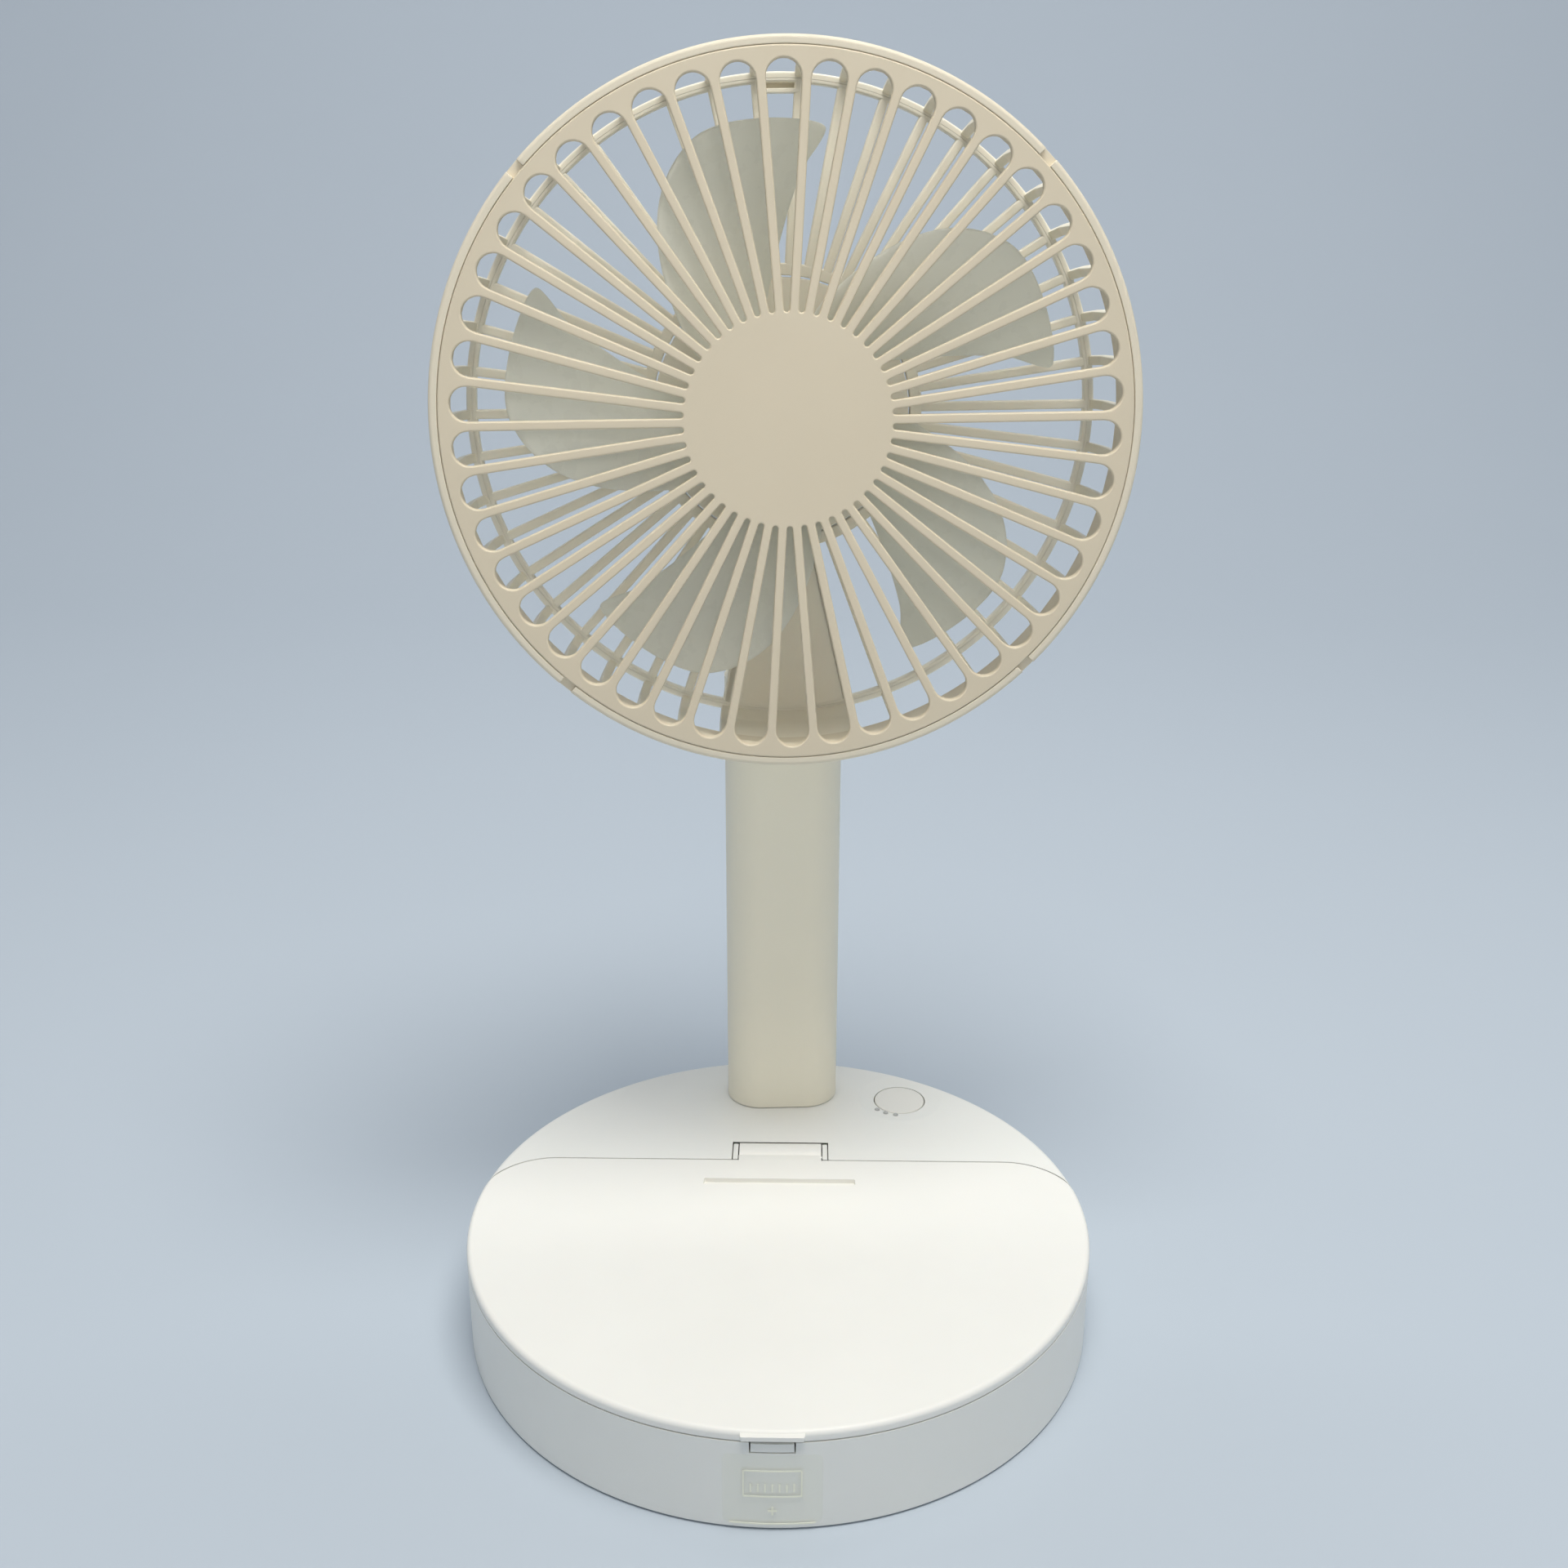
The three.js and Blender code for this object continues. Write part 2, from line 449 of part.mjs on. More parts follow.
const NOTCHES = [44, 137, 228.6, 314];
{
  // rim band with fingers that curve in behind, the flat rear guard that sits
  // inside them, the cup at its centre and the arm down to the tilt axis
  const wIn = PLATE_FRONT - PLATE_T - GAP;
  const shell = lathe([
    [77.9, PLATE_FRONT - 0.15], [79.0, PLATE_FRONT - 0.3], [79.9, PLATE_FRONT - 2.0],
    [79.9, 36], [79.1, 27], [77.0, REAR_PLANE + 0.8], [76.2, REAR_PLANE],
    [31.3, REAR_PLANE], [31.3, REAR_PLANE + 2.8], [75.7, REAR_PLANE + 2.8], [77.4, 28], [77.4, 52.5], [75.5, 54.6],
    [75.5, wIn], [77.9, wIn]], 92);
  // slots of the cage; three pitches at the bottom stay closed
  let body = shell;
  const pitch = REAR_PITCH;
  let cutters = null;
  for (let i = 0; i < 46; i++) {
    const a = 90 + i * pitch;
    const off = ((a + 90) % 360 + 540) % 360 - 180; // distance from -90 degrees
    if (Math.abs(off) < 1.45 * pitch) continue;
    const g1 = 1.1; // half rib width
    const h = pitch / 2 * deg;
    const at = (r) => r * Math.tan(h) - g1 / Math.cos(h);
    const turn = (pts) => shapeOf(pts.map(([x, y]) => {
      const ca = Math.cos(a * deg), sa = Math.sin(a * deg);
      return [x * ca - y * sa, x * sa + y * ca];
    }));
    const flat = prism(turn([[34.3, -at(34.3)], [SLOT_OUT, -at(SLOT_OUT)], [SLOT_OUT, at(SLOT_OUT)], [34.3, at(34.3)]]), REAR_PLANE - 2, REAR_PLANE + 5);
    const side = prism(turn([[70, -at(73.0)], [84, -at(84)], [84, at(84)], [70, at(73.0)]]), 18, 43);
    const wide = cut(side, lathe([[0, 0], [CAGE_R, 0], [CAGE_R, 60], [0, 60]], 92));
    const both = flat.add(wide);
    cutters = cutters ? cutters.add(both) : both;
  }
  body = body.subtract(cutters);
  let rim = body.subtract(cyl(RING_R + GAP, 0, 40, 0, 0, 92));
  body = body.intersect(cyl(RING_R, 0, 30, 0, 0, 92));
  // centre cup with the collar round the motor
  let cup = lathe([[0, 17.0], [28.4, 17.0], [31.0, 19.4], [31.0, REAR_PLANE + 2.8], [15.2, REAR_PLANE + 2.8], [15.2, 30], [13.5, 30], [13.5, 19.6], [0, 19.6]], 36);
  // tongue down to the tilt axis, in head coordinates y = up - HUB_UP
  const arm = [[19.6, 4.8 - HUB_UP], [19.6, 36 - HUB_UP], [17.4, 36 - HUB_UP], [7.6, 6.5 - HUB_UP], ...arcPoints(0, -HUB_UP, 8.6, 40, 290, 16), [19.6, 4.8 - HUB_UP]];
  const dedup = arm.slice(0, -1);
  // polygon of [forward, up] pushed along X: (forward, up, x) -> (x, up, forward)
  const s = shapeOf(dedup);
  const g = new THREE.ExtrudeGeometry(s, { depth: 13.4, bevelEnabled: false });
  g.applyMatrix4(new THREE.Matrix4().set(0, 0, 1, -6.7, 0, 1, 0, 0, 1, 0, 0, 0, 0, 0, 0, 1));
  let tongue = toSolid(fixWinding(g));
  const boreG = new THREE.CylinderGeometry(TILT_BORE, TILT_BORE, 40, 24);
  boreG.rotateZ(Math.PI / 2);
  boreG.translate(0, -HUB_UP, 0);
  tongue = tongue.subtract(toSolid(boreG));
  for (const a of NOTCHES) rim = rim.subtract(radialBox(a, 77.0, 84, 1.7, PLATE_FRONT - 1.6, PLATE_FRONT + 2));
  // hanging tab with a slot at the top of the rear ring
  const tab = box(-5.3, 5.3, 71.9, 74.6, REAR_PLANE, REAR_PLANE + 2.8);
  body = body.add(tab);
  body = body.subtract(box(-4.4, 4.4, 72.9, 74.4, REAR_PLANE + 1.2, REAR_PLANE + 5));
  // motor screw holes
  for (const x of [-8, 8]) cup = cup.subtract(cyl(1.3, 10, 24, x, 0, 14));
  add(head, 'head_rim', rim, material(CREAM, 0.6));
  add(head, 'rear_guard', body, material(CREAM, 0.6));
  add(head, 'motor_cup', cup, material(CREAM, 0.6));
  add(head, 'tilt_arm', tongue, material(CREAM, 0.6));
  for (const [i, x] of [-8, 8].entries()) {
    add(head, `motor_screw_${i + 1}`, join(cyl(2.1, 15.5, 16.7, x, 0, 16), cyl(1.0, 16.5, 24.5, x, 0, 14)), material(STEEL, 0.35, 1));
  }
  // motor with a shaft bore; screws enter from behind
  let motor = lathe([[0, 19.9], [13.1, 19.9], [13.1, 36], [12.2, 37], [5, 37], [5, 38.4], [0, 38.4]], 28);
  motor = motor.subtract(cyl(1.9, 22, 50, 0, 0, 20));
  for (const x of [-8, 8]) motor = motor.subtract(cyl(1.3, 18, 25, x, 0, 14));
  add(head, 'motor', motor, material(STEEL, 0.4, 1));
  for (const [name, x0] of [['tilt_washer_left', -7.25], ['tilt_washer_right', 6.8]]) {
    const w = lathe([[2.8, 0], [6.5, 0], [6.5, 0.45], [2.8, 0.45]], 24);
    const wg = toGeometry(w);
    wg.rotateY(Math.PI / 2);
    wg.translate(x0, -HUB_UP, 0);
    add(head, name, toSolid(wg), material(WHITE, 0.5));
  }
}

// ==================================================================== rotor
{
  const hub = lathe([[1.72, 39.2], [4.2, 39.2], [4.2, 45.6], [16.8, 45.6], [16.8, 32.5], [19.6, 32.5], [19.6, 46.0], [18.4, 48.6], [14, 50.6], [7, 51.4], [0, 51.6], [0, 50], [1.72, 50]], 36);
  let rotor = hub;
  // outline of one blade: [radius, trailing angle, leading angle] measured about the blade's own zero
  const rows = [[19.0, 103, 148], [25, 98.5, 145], [32, 93.8, 138.4], [40, 90, 132], [48, 87, 126], [55, 84.5, 120], [60, 81.6, 113.8], [63.4, 80.4, 108.5], [65, 83.6, 101.5]];
  const mid = (r) => {
    let i = 0;
    while (i < rows.length - 2 && rows[i + 1][0] < r) i++;
    const [a, b] = [rows[i], rows[i + 1]];
    const t = Math.min(Math.max((r - a[0]) / (b[0] - a[0]), 0), 1);
    return ((a[1] + a[2]) * (1 - t) + (b[1] + b[2]) * t) / 2;
  };
  for (let k = 0; k < 5; k++) {
    const pts = [];
    for (const [r, lo] of rows) pts.push([r, lo]);
    for (const [r, , hi] of [...rows].reverse()) pts.push([r, hi]);
    const shape = shapeOf(pts.map(([r, a]) => [r * Math.cos((a + 72 * k) * deg), r * Math.sin((a + 72 * k) * deg)]));
    const g = new THREE.ExtrudeGeometry(shape, { depth: 1.5, bevelEnabled: false });
    const p = g.attributes.position;
    for (let i = 0; i < p.count; i++) {
      const x = p.getX(i), y = p.getY(i);
      const r = Math.hypot(x, y);
      let a = Math.atan2(y, x) / deg - 72 * k;
      while (a < -60) a += 360;
      while (a > 300) a -= 360;
      p.setZ(i, p.getZ(i) + ROTOR_W - 0.75 + 19 * (a - mid(r)) * deg);
    }
    rotor = rotor.add(toSolid(fixWinding(g)));
  }
  add(head, 'fan_rotor', rotor, material(0xd9dcd6, 0.35, 0, { transparent: true, opacity: 0.8 }));
  add(head, 'motor_shaft', cyl(1.45, 23, 49.6, 0, 0, 20), material(STEEL, 0.25, 1));
}

export default fan;
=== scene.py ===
import math
import random

import bmesh
import bpy
from mathutils import Matrix, Vector


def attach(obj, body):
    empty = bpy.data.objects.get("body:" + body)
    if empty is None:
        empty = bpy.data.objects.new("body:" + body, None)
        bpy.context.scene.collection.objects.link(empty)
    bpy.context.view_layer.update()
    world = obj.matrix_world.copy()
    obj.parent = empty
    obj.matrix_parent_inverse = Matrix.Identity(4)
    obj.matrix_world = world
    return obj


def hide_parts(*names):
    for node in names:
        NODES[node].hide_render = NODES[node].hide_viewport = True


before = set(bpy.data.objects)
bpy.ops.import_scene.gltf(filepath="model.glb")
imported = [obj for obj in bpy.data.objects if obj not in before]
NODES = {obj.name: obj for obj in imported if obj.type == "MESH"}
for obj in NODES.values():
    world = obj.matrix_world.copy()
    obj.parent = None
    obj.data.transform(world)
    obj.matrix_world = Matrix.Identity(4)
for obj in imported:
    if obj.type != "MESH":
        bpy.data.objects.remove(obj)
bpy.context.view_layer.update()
rad = math.radians
sin, cos, pi = math.sin, math.cos, math.pi


# ------------------------------------------------------------------ transforms
def turn(axis, degrees):
    return Matrix.Rotation(rad(degrees), 4, axis)


def shift(x, y, z):
    return Matrix.Translation((x, y, z))


BASE = Matrix.Identity(4)
POLE = shift(0, 62.6, 0) @ turn("Z", 3.0)
TILT = POLE @ shift(0, 0, 146) @ turn("X", -3.95) @ turn("Y", -0.84)
HUB_UP = 79.94
HEAD = TILT @ shift(0, 0, HUB_UP) @ turn("X", 90)  # x right, y up, z forward


# --------------------------------------------------------------------- shapes
class Geo:
    """Vertices in millimetres and faces, gathered into one object."""

    def __init__(self):
        self.v, self.f = [], []

    def add(self, verts, faces, m=None):
        n = len(self.v)
        self.v += [tuple(m @ Vector(p)) if m else tuple(p) for p in verts]
        self.f += [[i + n for i in q] for q in faces]
        return self

    def obj(self, name, m=BASE):
        me = bpy.data.meshes.new(name)
        me.from_pydata([tuple((m @ Vector(p)) * 0.001) for p in self.v], [], self.f)
        me.validate()
        bm = bmesh.new()
        bm.from_mesh(me)
        bmesh.ops.recalc_face_normals(bm, faces=bm.faces)
        bm.to_mesh(me)
        bm.free()
        o = bpy.data.objects.new(name, me)
        bpy.context.scene.collection.objects.link(o)
        return o


def fillet(pts, rs, n=6):
    """Rounds the corners of a closed polygon; rs is one radius or a list."""
    out, count = [], len(pts)
    for i, p in enumerate(pts):
        r = rs[i] if isinstance(rs, (list, tuple)) else rs
        p = Vector(p)
        a = Vector(pts[i - 1]) - p
        b = Vector(pts[(i + 1) % count]) - p
        if r <= 0 or a.length < 1e-6 or b.length < 1e-6:
            out.append(tuple(p))
            continue
        la, lb = a.length, b.length
        a.normalize()
        b.normalize()
        ang = math.acos(max(-1, min(1, a.dot(b))))
        if ang > rad(176):
            out.append(tuple(p))
            continue
        t = min(r / math.tan(ang / 2), la * 0.49, lb * 0.49)
        rr = t * math.tan(ang / 2)
        c = p + (a + b).normalized() * (rr / sin(ang / 2))
        s, e = p + a * t, p + b * t
        a0 = math.atan2(s.y - c.y, s.x - c.x)
        d = math.atan2(e.y - c.y, e.x - c.x) - a0
        while d > pi:
            d -= 2 * pi
        while d < -pi:
            d += 2 * pi
        for k in range(n + 1):
            q = a0 + d * k / n
            out.append((c.x + rr * cos(q), c.y + rr * sin(q)))
    return out


def arc(cx, cy, r, a0, a1, n):
    return [(cx + r * cos(rad(a0 + (a1 - a0) * k / n)), cy + r * sin(rad(a0 + (a1 - a0) * k / n))) for k in range(n + 1)]


def lathe(pts, seg=256, a0=0.0, a1=360.0):
    """Turns a closed [r, z] polygon about Z. A point with r 0 lies on the axis."""
    full = abs(a1 - a0 - 360) < 1e-6
    count = seg if full else seg + 1
    v, f, rows = [], [], []
    for r, z in pts:
        if r < 1e-6:
            rows.append([len(v)] * count)
            v.append((0, 0, z))
        else:
            rows.append(list(range(len(v), len(v) + count)))
            for k in range(count):
                a = rad(a0 + (a1 - a0) * k / seg)
                v.append((r * cos(a), r * sin(a), z))
    n = len(pts)
    for i in range(n):
        A, B = rows[i], rows[(i + 1) % n]
        if A[0] == A[-1] and B[0] == B[-1] and pts[i][0] < 1e-6 and pts[(i + 1) % n][0] < 1e-6:
            continue
        for k in range(seg):
            k2 = (k + 1) % count
            q = [A[k], A[k2], B[k2], B[k]]
            q = [x for j, x in enumerate(q) if x != q[j - 1]]
            if len(q) >= 3:
                f.append(q)
    if not full:
        f.append([r[0] for r in rows])
        f.append([r[-1] for r in rows][::-1])
    return v, f


def prism(poly, z0, z1):
    n = len(poly)
    v = [(x, y, z0) for x, y in poly] + [(x, y, z1) for x, y in poly]
    f = [list(range(n))[::-1], list(range(n, 2 * n))]
    f += [[i, (i + 1) % n, n + (i + 1) % n, n + i] for i in range(n)]
    return v, f


def prism_x(poly, x0, x1):
    """A [y, z] polygon pushed along X."""
    v, f = prism(poly, x0, x1)
    return [(c, a, b) for a, b, c in v], f


def block(x0, x1, y0, y1, z0, z1):
    return prism([(x0, y0), (x1, y0), (x1, y1), (x0, y1)], z0, z1)


def round_rect(x0, x1, y0, y1, r, n=8):
    return arc(x1 - r, y1 - r, r, 0, 90, n) + arc(x0 + r, y1 - r, r, 90, 180, n) + arc(x0 + r, y0 + r, r, 180, 270, n) + arc(x1 - r, y0 + r, r, 270, 360, n)


def bake(o):
    dg = bpy.context.evaluated_depsgraph_get()
    me = bpy.data.meshes.new_from_object(o.evaluated_get(dg))
    o.modifiers.clear()
    o.data = me
    me.name = o.name
    return o


def boolean(o, other, how="DIFFERENCE"):
    m = o.modifiers.new("b", "BOOLEAN")
    m.object, m.operation, m.solver = other, how, "EXACT"
    bake(o)
    bpy.data.objects.remove(other, do_unlink=True)
    return o


def tool(parts, m=BASE):
    g = Geo()
    for v, f in parts:
        g.add(v, f)
    return g.obj("tool", m)


def done(o, mat, body, nodes=(), bevel=0.0, segments=2, angle=38, sharp=38):
    """Softens the edges, shades the piece smooth and hangs it on its body."""
    if bevel:
        m = o.modifiers.new("edge", "BEVEL")
        m.width, m.segments = bevel * 0.001, segments
        m.limit_method, m.angle_limit = "ANGLE", rad(angle)
        m.use_clamp_overlap = True
        m.miter_outer = "MITER_ARC"
        bake(o)
    me = o.data
    for p in me.polygons:
        p.use_smooth = True
    me.set_sharp_from_angle(angle=rad(sharp))
    w = o.modifiers.new("normals", "WEIGHTED_NORMAL")
    w.keep_sharp = True
    w.weight = 80
    me.materials.clear()
    me.materials.append(mat)
    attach(o, body)
    if nodes:
        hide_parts(*nodes)
    return o


# ------------------------------------------------------------------ materials
def material(name):
    m = bpy.data.materials.new(name)
    m.use_nodes = True
    nt = m.node_tree
    nt.nodes.clear()
    out = nt.nodes.new("ShaderNodeOutputMaterial")
    return m, nt, out


def link(nt, a, b):
    nt.links.new(a, b)


def noise(nt, coord, scale, detail=3.0, rough=0.55):
    n = nt.nodes.new("ShaderNodeTexNoise")
    n.inputs["Scale"].default_value = scale
    n.inputs["Detail"].default_value = detail
    n.inputs["Roughness"].default_value = rough
    link(nt, coord, n.inputs["Vector"])
    return n


def ramp_value(nt, src, lo, hi):
    m = nt.nodes.new("ShaderNodeMapRange")
    m.inputs["From Min"].default_value = 0.3
    m.inputs["From Max"].default_value = 0.7
    m.inputs["To Min"].default_value = lo
    m.inputs["To Max"].default_value = hi
    link(nt, src, m.inputs["Value"])
    return m.outputs["Result"]


def plastic(name, rgb, rough=0.42, grain=0.06, grain_scale=2600.0, tint=0.02, sss=0.0, sss_rgb=None, spec=0.45, coat=0.0):
    """Moulded plastic: faint colour drift, fine spark-eroded grain and uneven sheen."""
    m, nt, out = material(name)
    co = nt.nodes.new("ShaderNodeTexCoord").outputs["Object"]
    p = nt.nodes.new("ShaderNodeBsdfPrincipled")
    drift = noise(nt, co, 18.0, 4.0)
    mix = nt.nodes.new("ShaderNodeMix")
    mix.data_type = "RGBA"
    a = [max(0, c * (1 - tint)) for c in rgb] + [1]
    b = [min(1, c * (1 + tint)) for c in rgb] + [1]
    mix.inputs["A"].default_value = a
    mix.inputs["B"].default_value = b
    link(nt, ramp_value(nt, drift.outputs["Fac"], 0.0, 1.0), mix.inputs["Factor"])
    link(nt, mix.outputs["Result"], p.inputs["Base Color"])
    sheen = noise(nt, co, 160.0, 3.0)
    link(nt, ramp_value(nt, sheen.outputs["Fac"], rough - 0.05, rough + 0.05), p.inputs["Roughness"])
    g = noise(nt, co, grain_scale, 2.0, 0.5)
    bump = nt.nodes.new("ShaderNodeBump")
    bump.inputs["Strength"].default_value = grain
    bump.inputs["Distance"].default_value = 0.00012
    link(nt, g.outputs["Fac"], bump.inputs["Height"])
    link(nt, bump.outputs["Normal"], p.inputs["Normal"])
    p.inputs["Specular IOR Level"].default_value = spec
    p.inputs["IOR"].default_value = 1.46
    if coat:
        p.inputs["Coat Weight"].default_value = coat
        p.inputs["Coat Roughness"].default_value = 0.2
    if sss:
        p.inputs["Subsurface Weight"].default_value = sss
        p.inputs["Subsurface Radius"].default_value = (1.0, 0.8, 0.6)
        p.inputs["Subsurface Scale"].default_value = 0.002
    link(nt, p.outputs["BSDF"], out.inputs["Surface"])
    return m


def metal(name, rgb, rough=0.3, streak=True):
    m, nt, out = material(name)
    co = nt.nodes.new("ShaderNodeTexCoord").outputs["Object"]
    p = nt.nodes.new("ShaderNodeBsdfPrincipled")
    p.inputs["Metallic"].default_value = 1.0
    mp = nt.nodes.new("ShaderNodeMapping")
    mp.inputs["Scale"].default_value = (1.0, 1.0, 9.0) if streak else (1, 1, 1)
    link(nt, co, mp.inputs["Vector"])
    n = noise(nt, mp.outputs["Vector"], 420.0, 4.0)
    link(nt, ramp_value(nt, n.outputs["Fac"], rough - 0.08, rough + 0.08), p.inputs["Roughness"])
    mix = nt.nodes.new("ShaderNodeMix")
    mix.data_type = "RGBA"
    mix.inputs["A"].default_value = [c * 0.93 for c in rgb] + [1]
    mix.inputs["B"].default_value = list(rgb) + [1]
    link(nt, n.outputs["Fac"], mix.inputs["Factor"])
    link(nt, mix.outputs["Result"], p.inputs["Base Color"])
    bump = nt.nodes.new("ShaderNodeBump")
    bump.inputs["Strength"].default_value = 0.08
    bump.inputs["Distance"].default_value = 0.00008
    link(nt, n.outputs["Fac"], bump.inputs["Height"])
    link(nt, bump.outputs["Normal"], p.inputs["Normal"])
    link(nt, p.outputs["BSDF"], out.inputs["Surface"])
    return m


def milky(name, rgb, clear=0.2):
    """Translucent white plastic: mostly diffuse, some light carried through."""
    m, nt, out = material(name)
    co = nt.nodes.new("ShaderNodeTexCoord").outputs["Object"]
    p = nt.nodes.new("ShaderNodeBsdfPrincipled")
    n = noise(nt, co, 30.0, 3.0)
    mix = nt.nodes.new("ShaderNodeMix")
    mix.data_type = "RGBA"
    mix.inputs["A"].default_value = [c * 0.97 for c in rgb] + [1]
    mix.inputs["B"].default_value = list(rgb) + [1]
    link(nt, n.outputs["Fac"], mix.inputs["Factor"])
    link(nt, mix.outputs["Result"], p.inputs["Base Color"])
    link(nt, ramp_value(nt, noise(nt, co, 200.0).outputs["Fac"], 0.24, 0.34), p.inputs["Roughness"])
    p.inputs["Specular IOR Level"].default_value = 0.5
    tl = nt.nodes.new("ShaderNodeBsdfTranslucent")
    link(nt, mix.outputs["Result"], tl.inputs["Color"])
    m1 = nt.nodes.new("ShaderNodeMixShader")
    m1.inputs["Fac"].default_value = 0.45
    link(nt, p.outputs["BSDF"], m1.inputs[1])
    link(nt, tl.outputs["BSDF"], m1.inputs[2])
    tr = nt.nodes.new("ShaderNodeBsdfTransparent")
    tr.inputs["Color"].default_value = (0.96, 0.97, 0.96, 1)
    m2 = nt.nodes.new("ShaderNodeMixShader")
    m2.inputs["Fac"].default_value = clear
    link(nt, m1.outputs["Shader"], m2.inputs[1])
    link(nt, tr.outputs["BSDF"], m2.inputs[2])
    link(nt, m2.outputs["Shader"], out.inputs["Surface"])
    return m


def film(name):
    m, nt, out = material(name)
    co = nt.nodes.new("ShaderNodeTexCoord").outputs["Object"]
    p = nt.nodes.new("ShaderNodeBsdfPrincipled")
    p.inputs["Base Color"].default_value = (0.86, 0.89, 0.90, 1)
    link(nt, ramp_value(nt, noise(nt, co, 240.0).outputs["Fac"], 0.1, 0.2), p.inputs["Roughness"])
    p.inputs["Specular IOR Level"].default_value = 0.6
    tr = nt.nodes.new("ShaderNodeBsdfTransparent")
    tr.inputs["Color"].default_value = (1.0, 1.0, 0.99, 1)
    mx = nt.nodes.new("ShaderNodeMixShader")
    mx.inputs["Fac"].default_value = 0.975
    link(nt, p.outputs["BSDF"], mx.inputs[1])
    link(nt, tr.outputs["BSDF"], mx.inputs[2])
    link(nt, mx.outputs["Shader"], out.inputs["Surface"])
    return m


CREAM = plastic("cream shell", (0.965, 0.905, 0.735), 0.46, sss=0.06)
CREAM_DRUM = plastic("cream drum", (0.90, 0.895, 0.84), 0.42, sss=0.06)
LID = plastic("cream lid", (0.92, 0.905, 0.845), 0.42, sss=0.06)
GRILLE = plastic("grille cream", (0.705, 0.615, 0.46), 0.46, sss=0.05)
RIM = plastic("rim cream", (0.77, 0.695, 0.545), 0.48, sss=0.05)
GUARD = plastic("guard cream", (0.89, 0.835, 0.70), 0.5, sss=0.12)
BUTTON = plastic("button cream", (0.87, 0.85, 0.78), 0.34, grain=0.03)
NYLON = plastic("nylon", (0.82, 0.82, 0.78), 0.5, sss=0.2)
# grey lens colour, darkened partly as painted shade: it stands in for the shade inside the light holes
GREY_LENS_AND_HOLE_SHADE = plastic("grey lens with painted hole shade", (0.52, 0.52, 0.50), 0.3, grain=0.02)
RUBBER = plastic("grey rubber", (0.23, 0.235, 0.24), 0.8, grain=0.2, grain_scale=1400, spec=0.25)
BLACK = plastic("black plastic", (0.025, 0.025, 0.027), 0.45)
BOARD = plastic("solder mask", (0.02, 0.12, 0.06), 0.35, tint=0.12)
CELL = plastic("cell wrap", (0.06, 0.16, 0.42), 0.28, grain=0.02)
# the label print colour; it also paints a highlight strip along the label's lower edge
PRINT_AND_EDGE_HIGHLIGHT = plastic("label print and painted edge highlight", (0.97, 0.96, 0.80), 0.35, grain=0.02)
STEEL = metal("plated steel", (0.62, 0.63, 0.65), 0.28)
BALLAST = metal("ballast steel", (0.42, 0.42, 0.43), 0.5, False)
MILKY = milky("milky blades", (0.96, 0.96, 0.89), 0.02)
FILM = film("clear film")

# ------------------------------------------------------------------ dimensions
R = 80.0
TOP = 26.9
SEAM_Y = 25.9
CORNER_X, CORNER_R = 61.0, 19.1
HY, HZ = 32.7, 22.8


def front_region(gap, z0, z1):
    cy = SEAM_Y - CORNER_R
    right = arc(CORNER_X, cy, CORNER_R - gap, 12, 90, 24)
    left = [(-x, y) for x, y in right][::-1]
    return prism([(-100, -100), (100, -100), (100, right[0][1])] + right + left + [(-100, right[0][1])], z0, z1)


# ======================================================================= drum
drum_profile = (
    [(77.9, 0.4)] + fillet([(79.0, 0.4), (80.0, 0.4), (80.0, 5.0)], [0, 0.9, 0], 5)[1:-1] + [(80.0, 5.0)]
    + fillet([(80.0, 20.0), (80.0, TOP), (70.0, TOP)], [0, 1.7, 0], 8)[1:-1] + [(0.0, TOP), (0.0, 24.5), (77.9, 24.5)]
)
drum = tool([lathe(drum_profile, 256)])
drum.name = "drum_housing_fine"
boolean(drum, tool([front_region(0, 24.0, 60)]))
dish = [(0.0, 30.0), (0.0, TOP - 0.95)] + [(r, TOP - 0.95 * (1 - (r / 12.4) ** 2)) for r in (2, 4, 6, 8, 9, 10, 11, 11.8, 12.4)] + [(14, TOP + 0.35), (14, 30)]
cutters = [
    block(-13.3, 13.3, 20, 37.3, 16.9, HZ),
    block(-13.3, 13.3, 20, 34.2, 16.9, 60),
    ([(x, y + 62.6, z) for x, y, z in lathe([(0, 20), (7.9, 20), (7.9, 40), (0, 40)], 64)[0]], lathe([(0, 20), (7.9, 20), (7.9, 40), (0, 40)], 64)[1]),
    block(-5.1, 5.1, -90, -70, 21.2, 30),
    block(24.9, 35.1, 66, 90, 14.6, 18.6),
]
boolean(drum, tool(cutters))
boolean(drum, tool([prism_x(arc(HY, HZ, 4.45, 0, 360, 96)[:-1], -13.3, 13.3)]))
boolean(drum, tool([lathe(dish, 96)], shift(34.4, 58.5, 0)))
boolean(drum, tool([lathe([(0, 20), (7.5, 20), (7.5, 40), (0, 40)], 72)], shift(34.4, 58.5, 0)))
LEDS = [(27.7, 53.0), (30.1, 51.25), (32.9, 50.25)]
for x, y in LEDS:
    boolean(drum, tool([lathe([(0, 20), (0.76, 20), (0.76, 40), (0, 40)], 24)], shift(x, y, 0)))
done(drum, CREAM_DRUM, "base", ("base_housing",), bevel=0.22, segments=2)

tub = Geo()
v, f = lathe([(0, 8.0), (77.95, 8.0), (77.95, 9.6), (0, 9.6)], 256)
tub.add(v, f)
tub_o = tub.obj("storage_floor_fine")
boolean(tub_o, tool([block(-100, 100, 25.0, 100, 0, 30)]))
done(tub_o, CREAM_DRUM, "base", ("base_housing",), bevel=0.0)
w = math.sqrt(77.95 ** 2 - 25.0 ** 2)
bulk = Geo()
bulk.add(*block(-w, -13.3, 22.6, 25.0, 5, 24.0))
bulk.add(*block(13.3, w, 22.6, 25.0, 5, 24.0))
bulk.add(*block(-13.3, 13.3, 22.6, 25.0, 5, 16.9))
done(bulk.obj("bulkhead_fine"), CREAM_DRUM, "base", ("base_housing",), bevel=0.3)

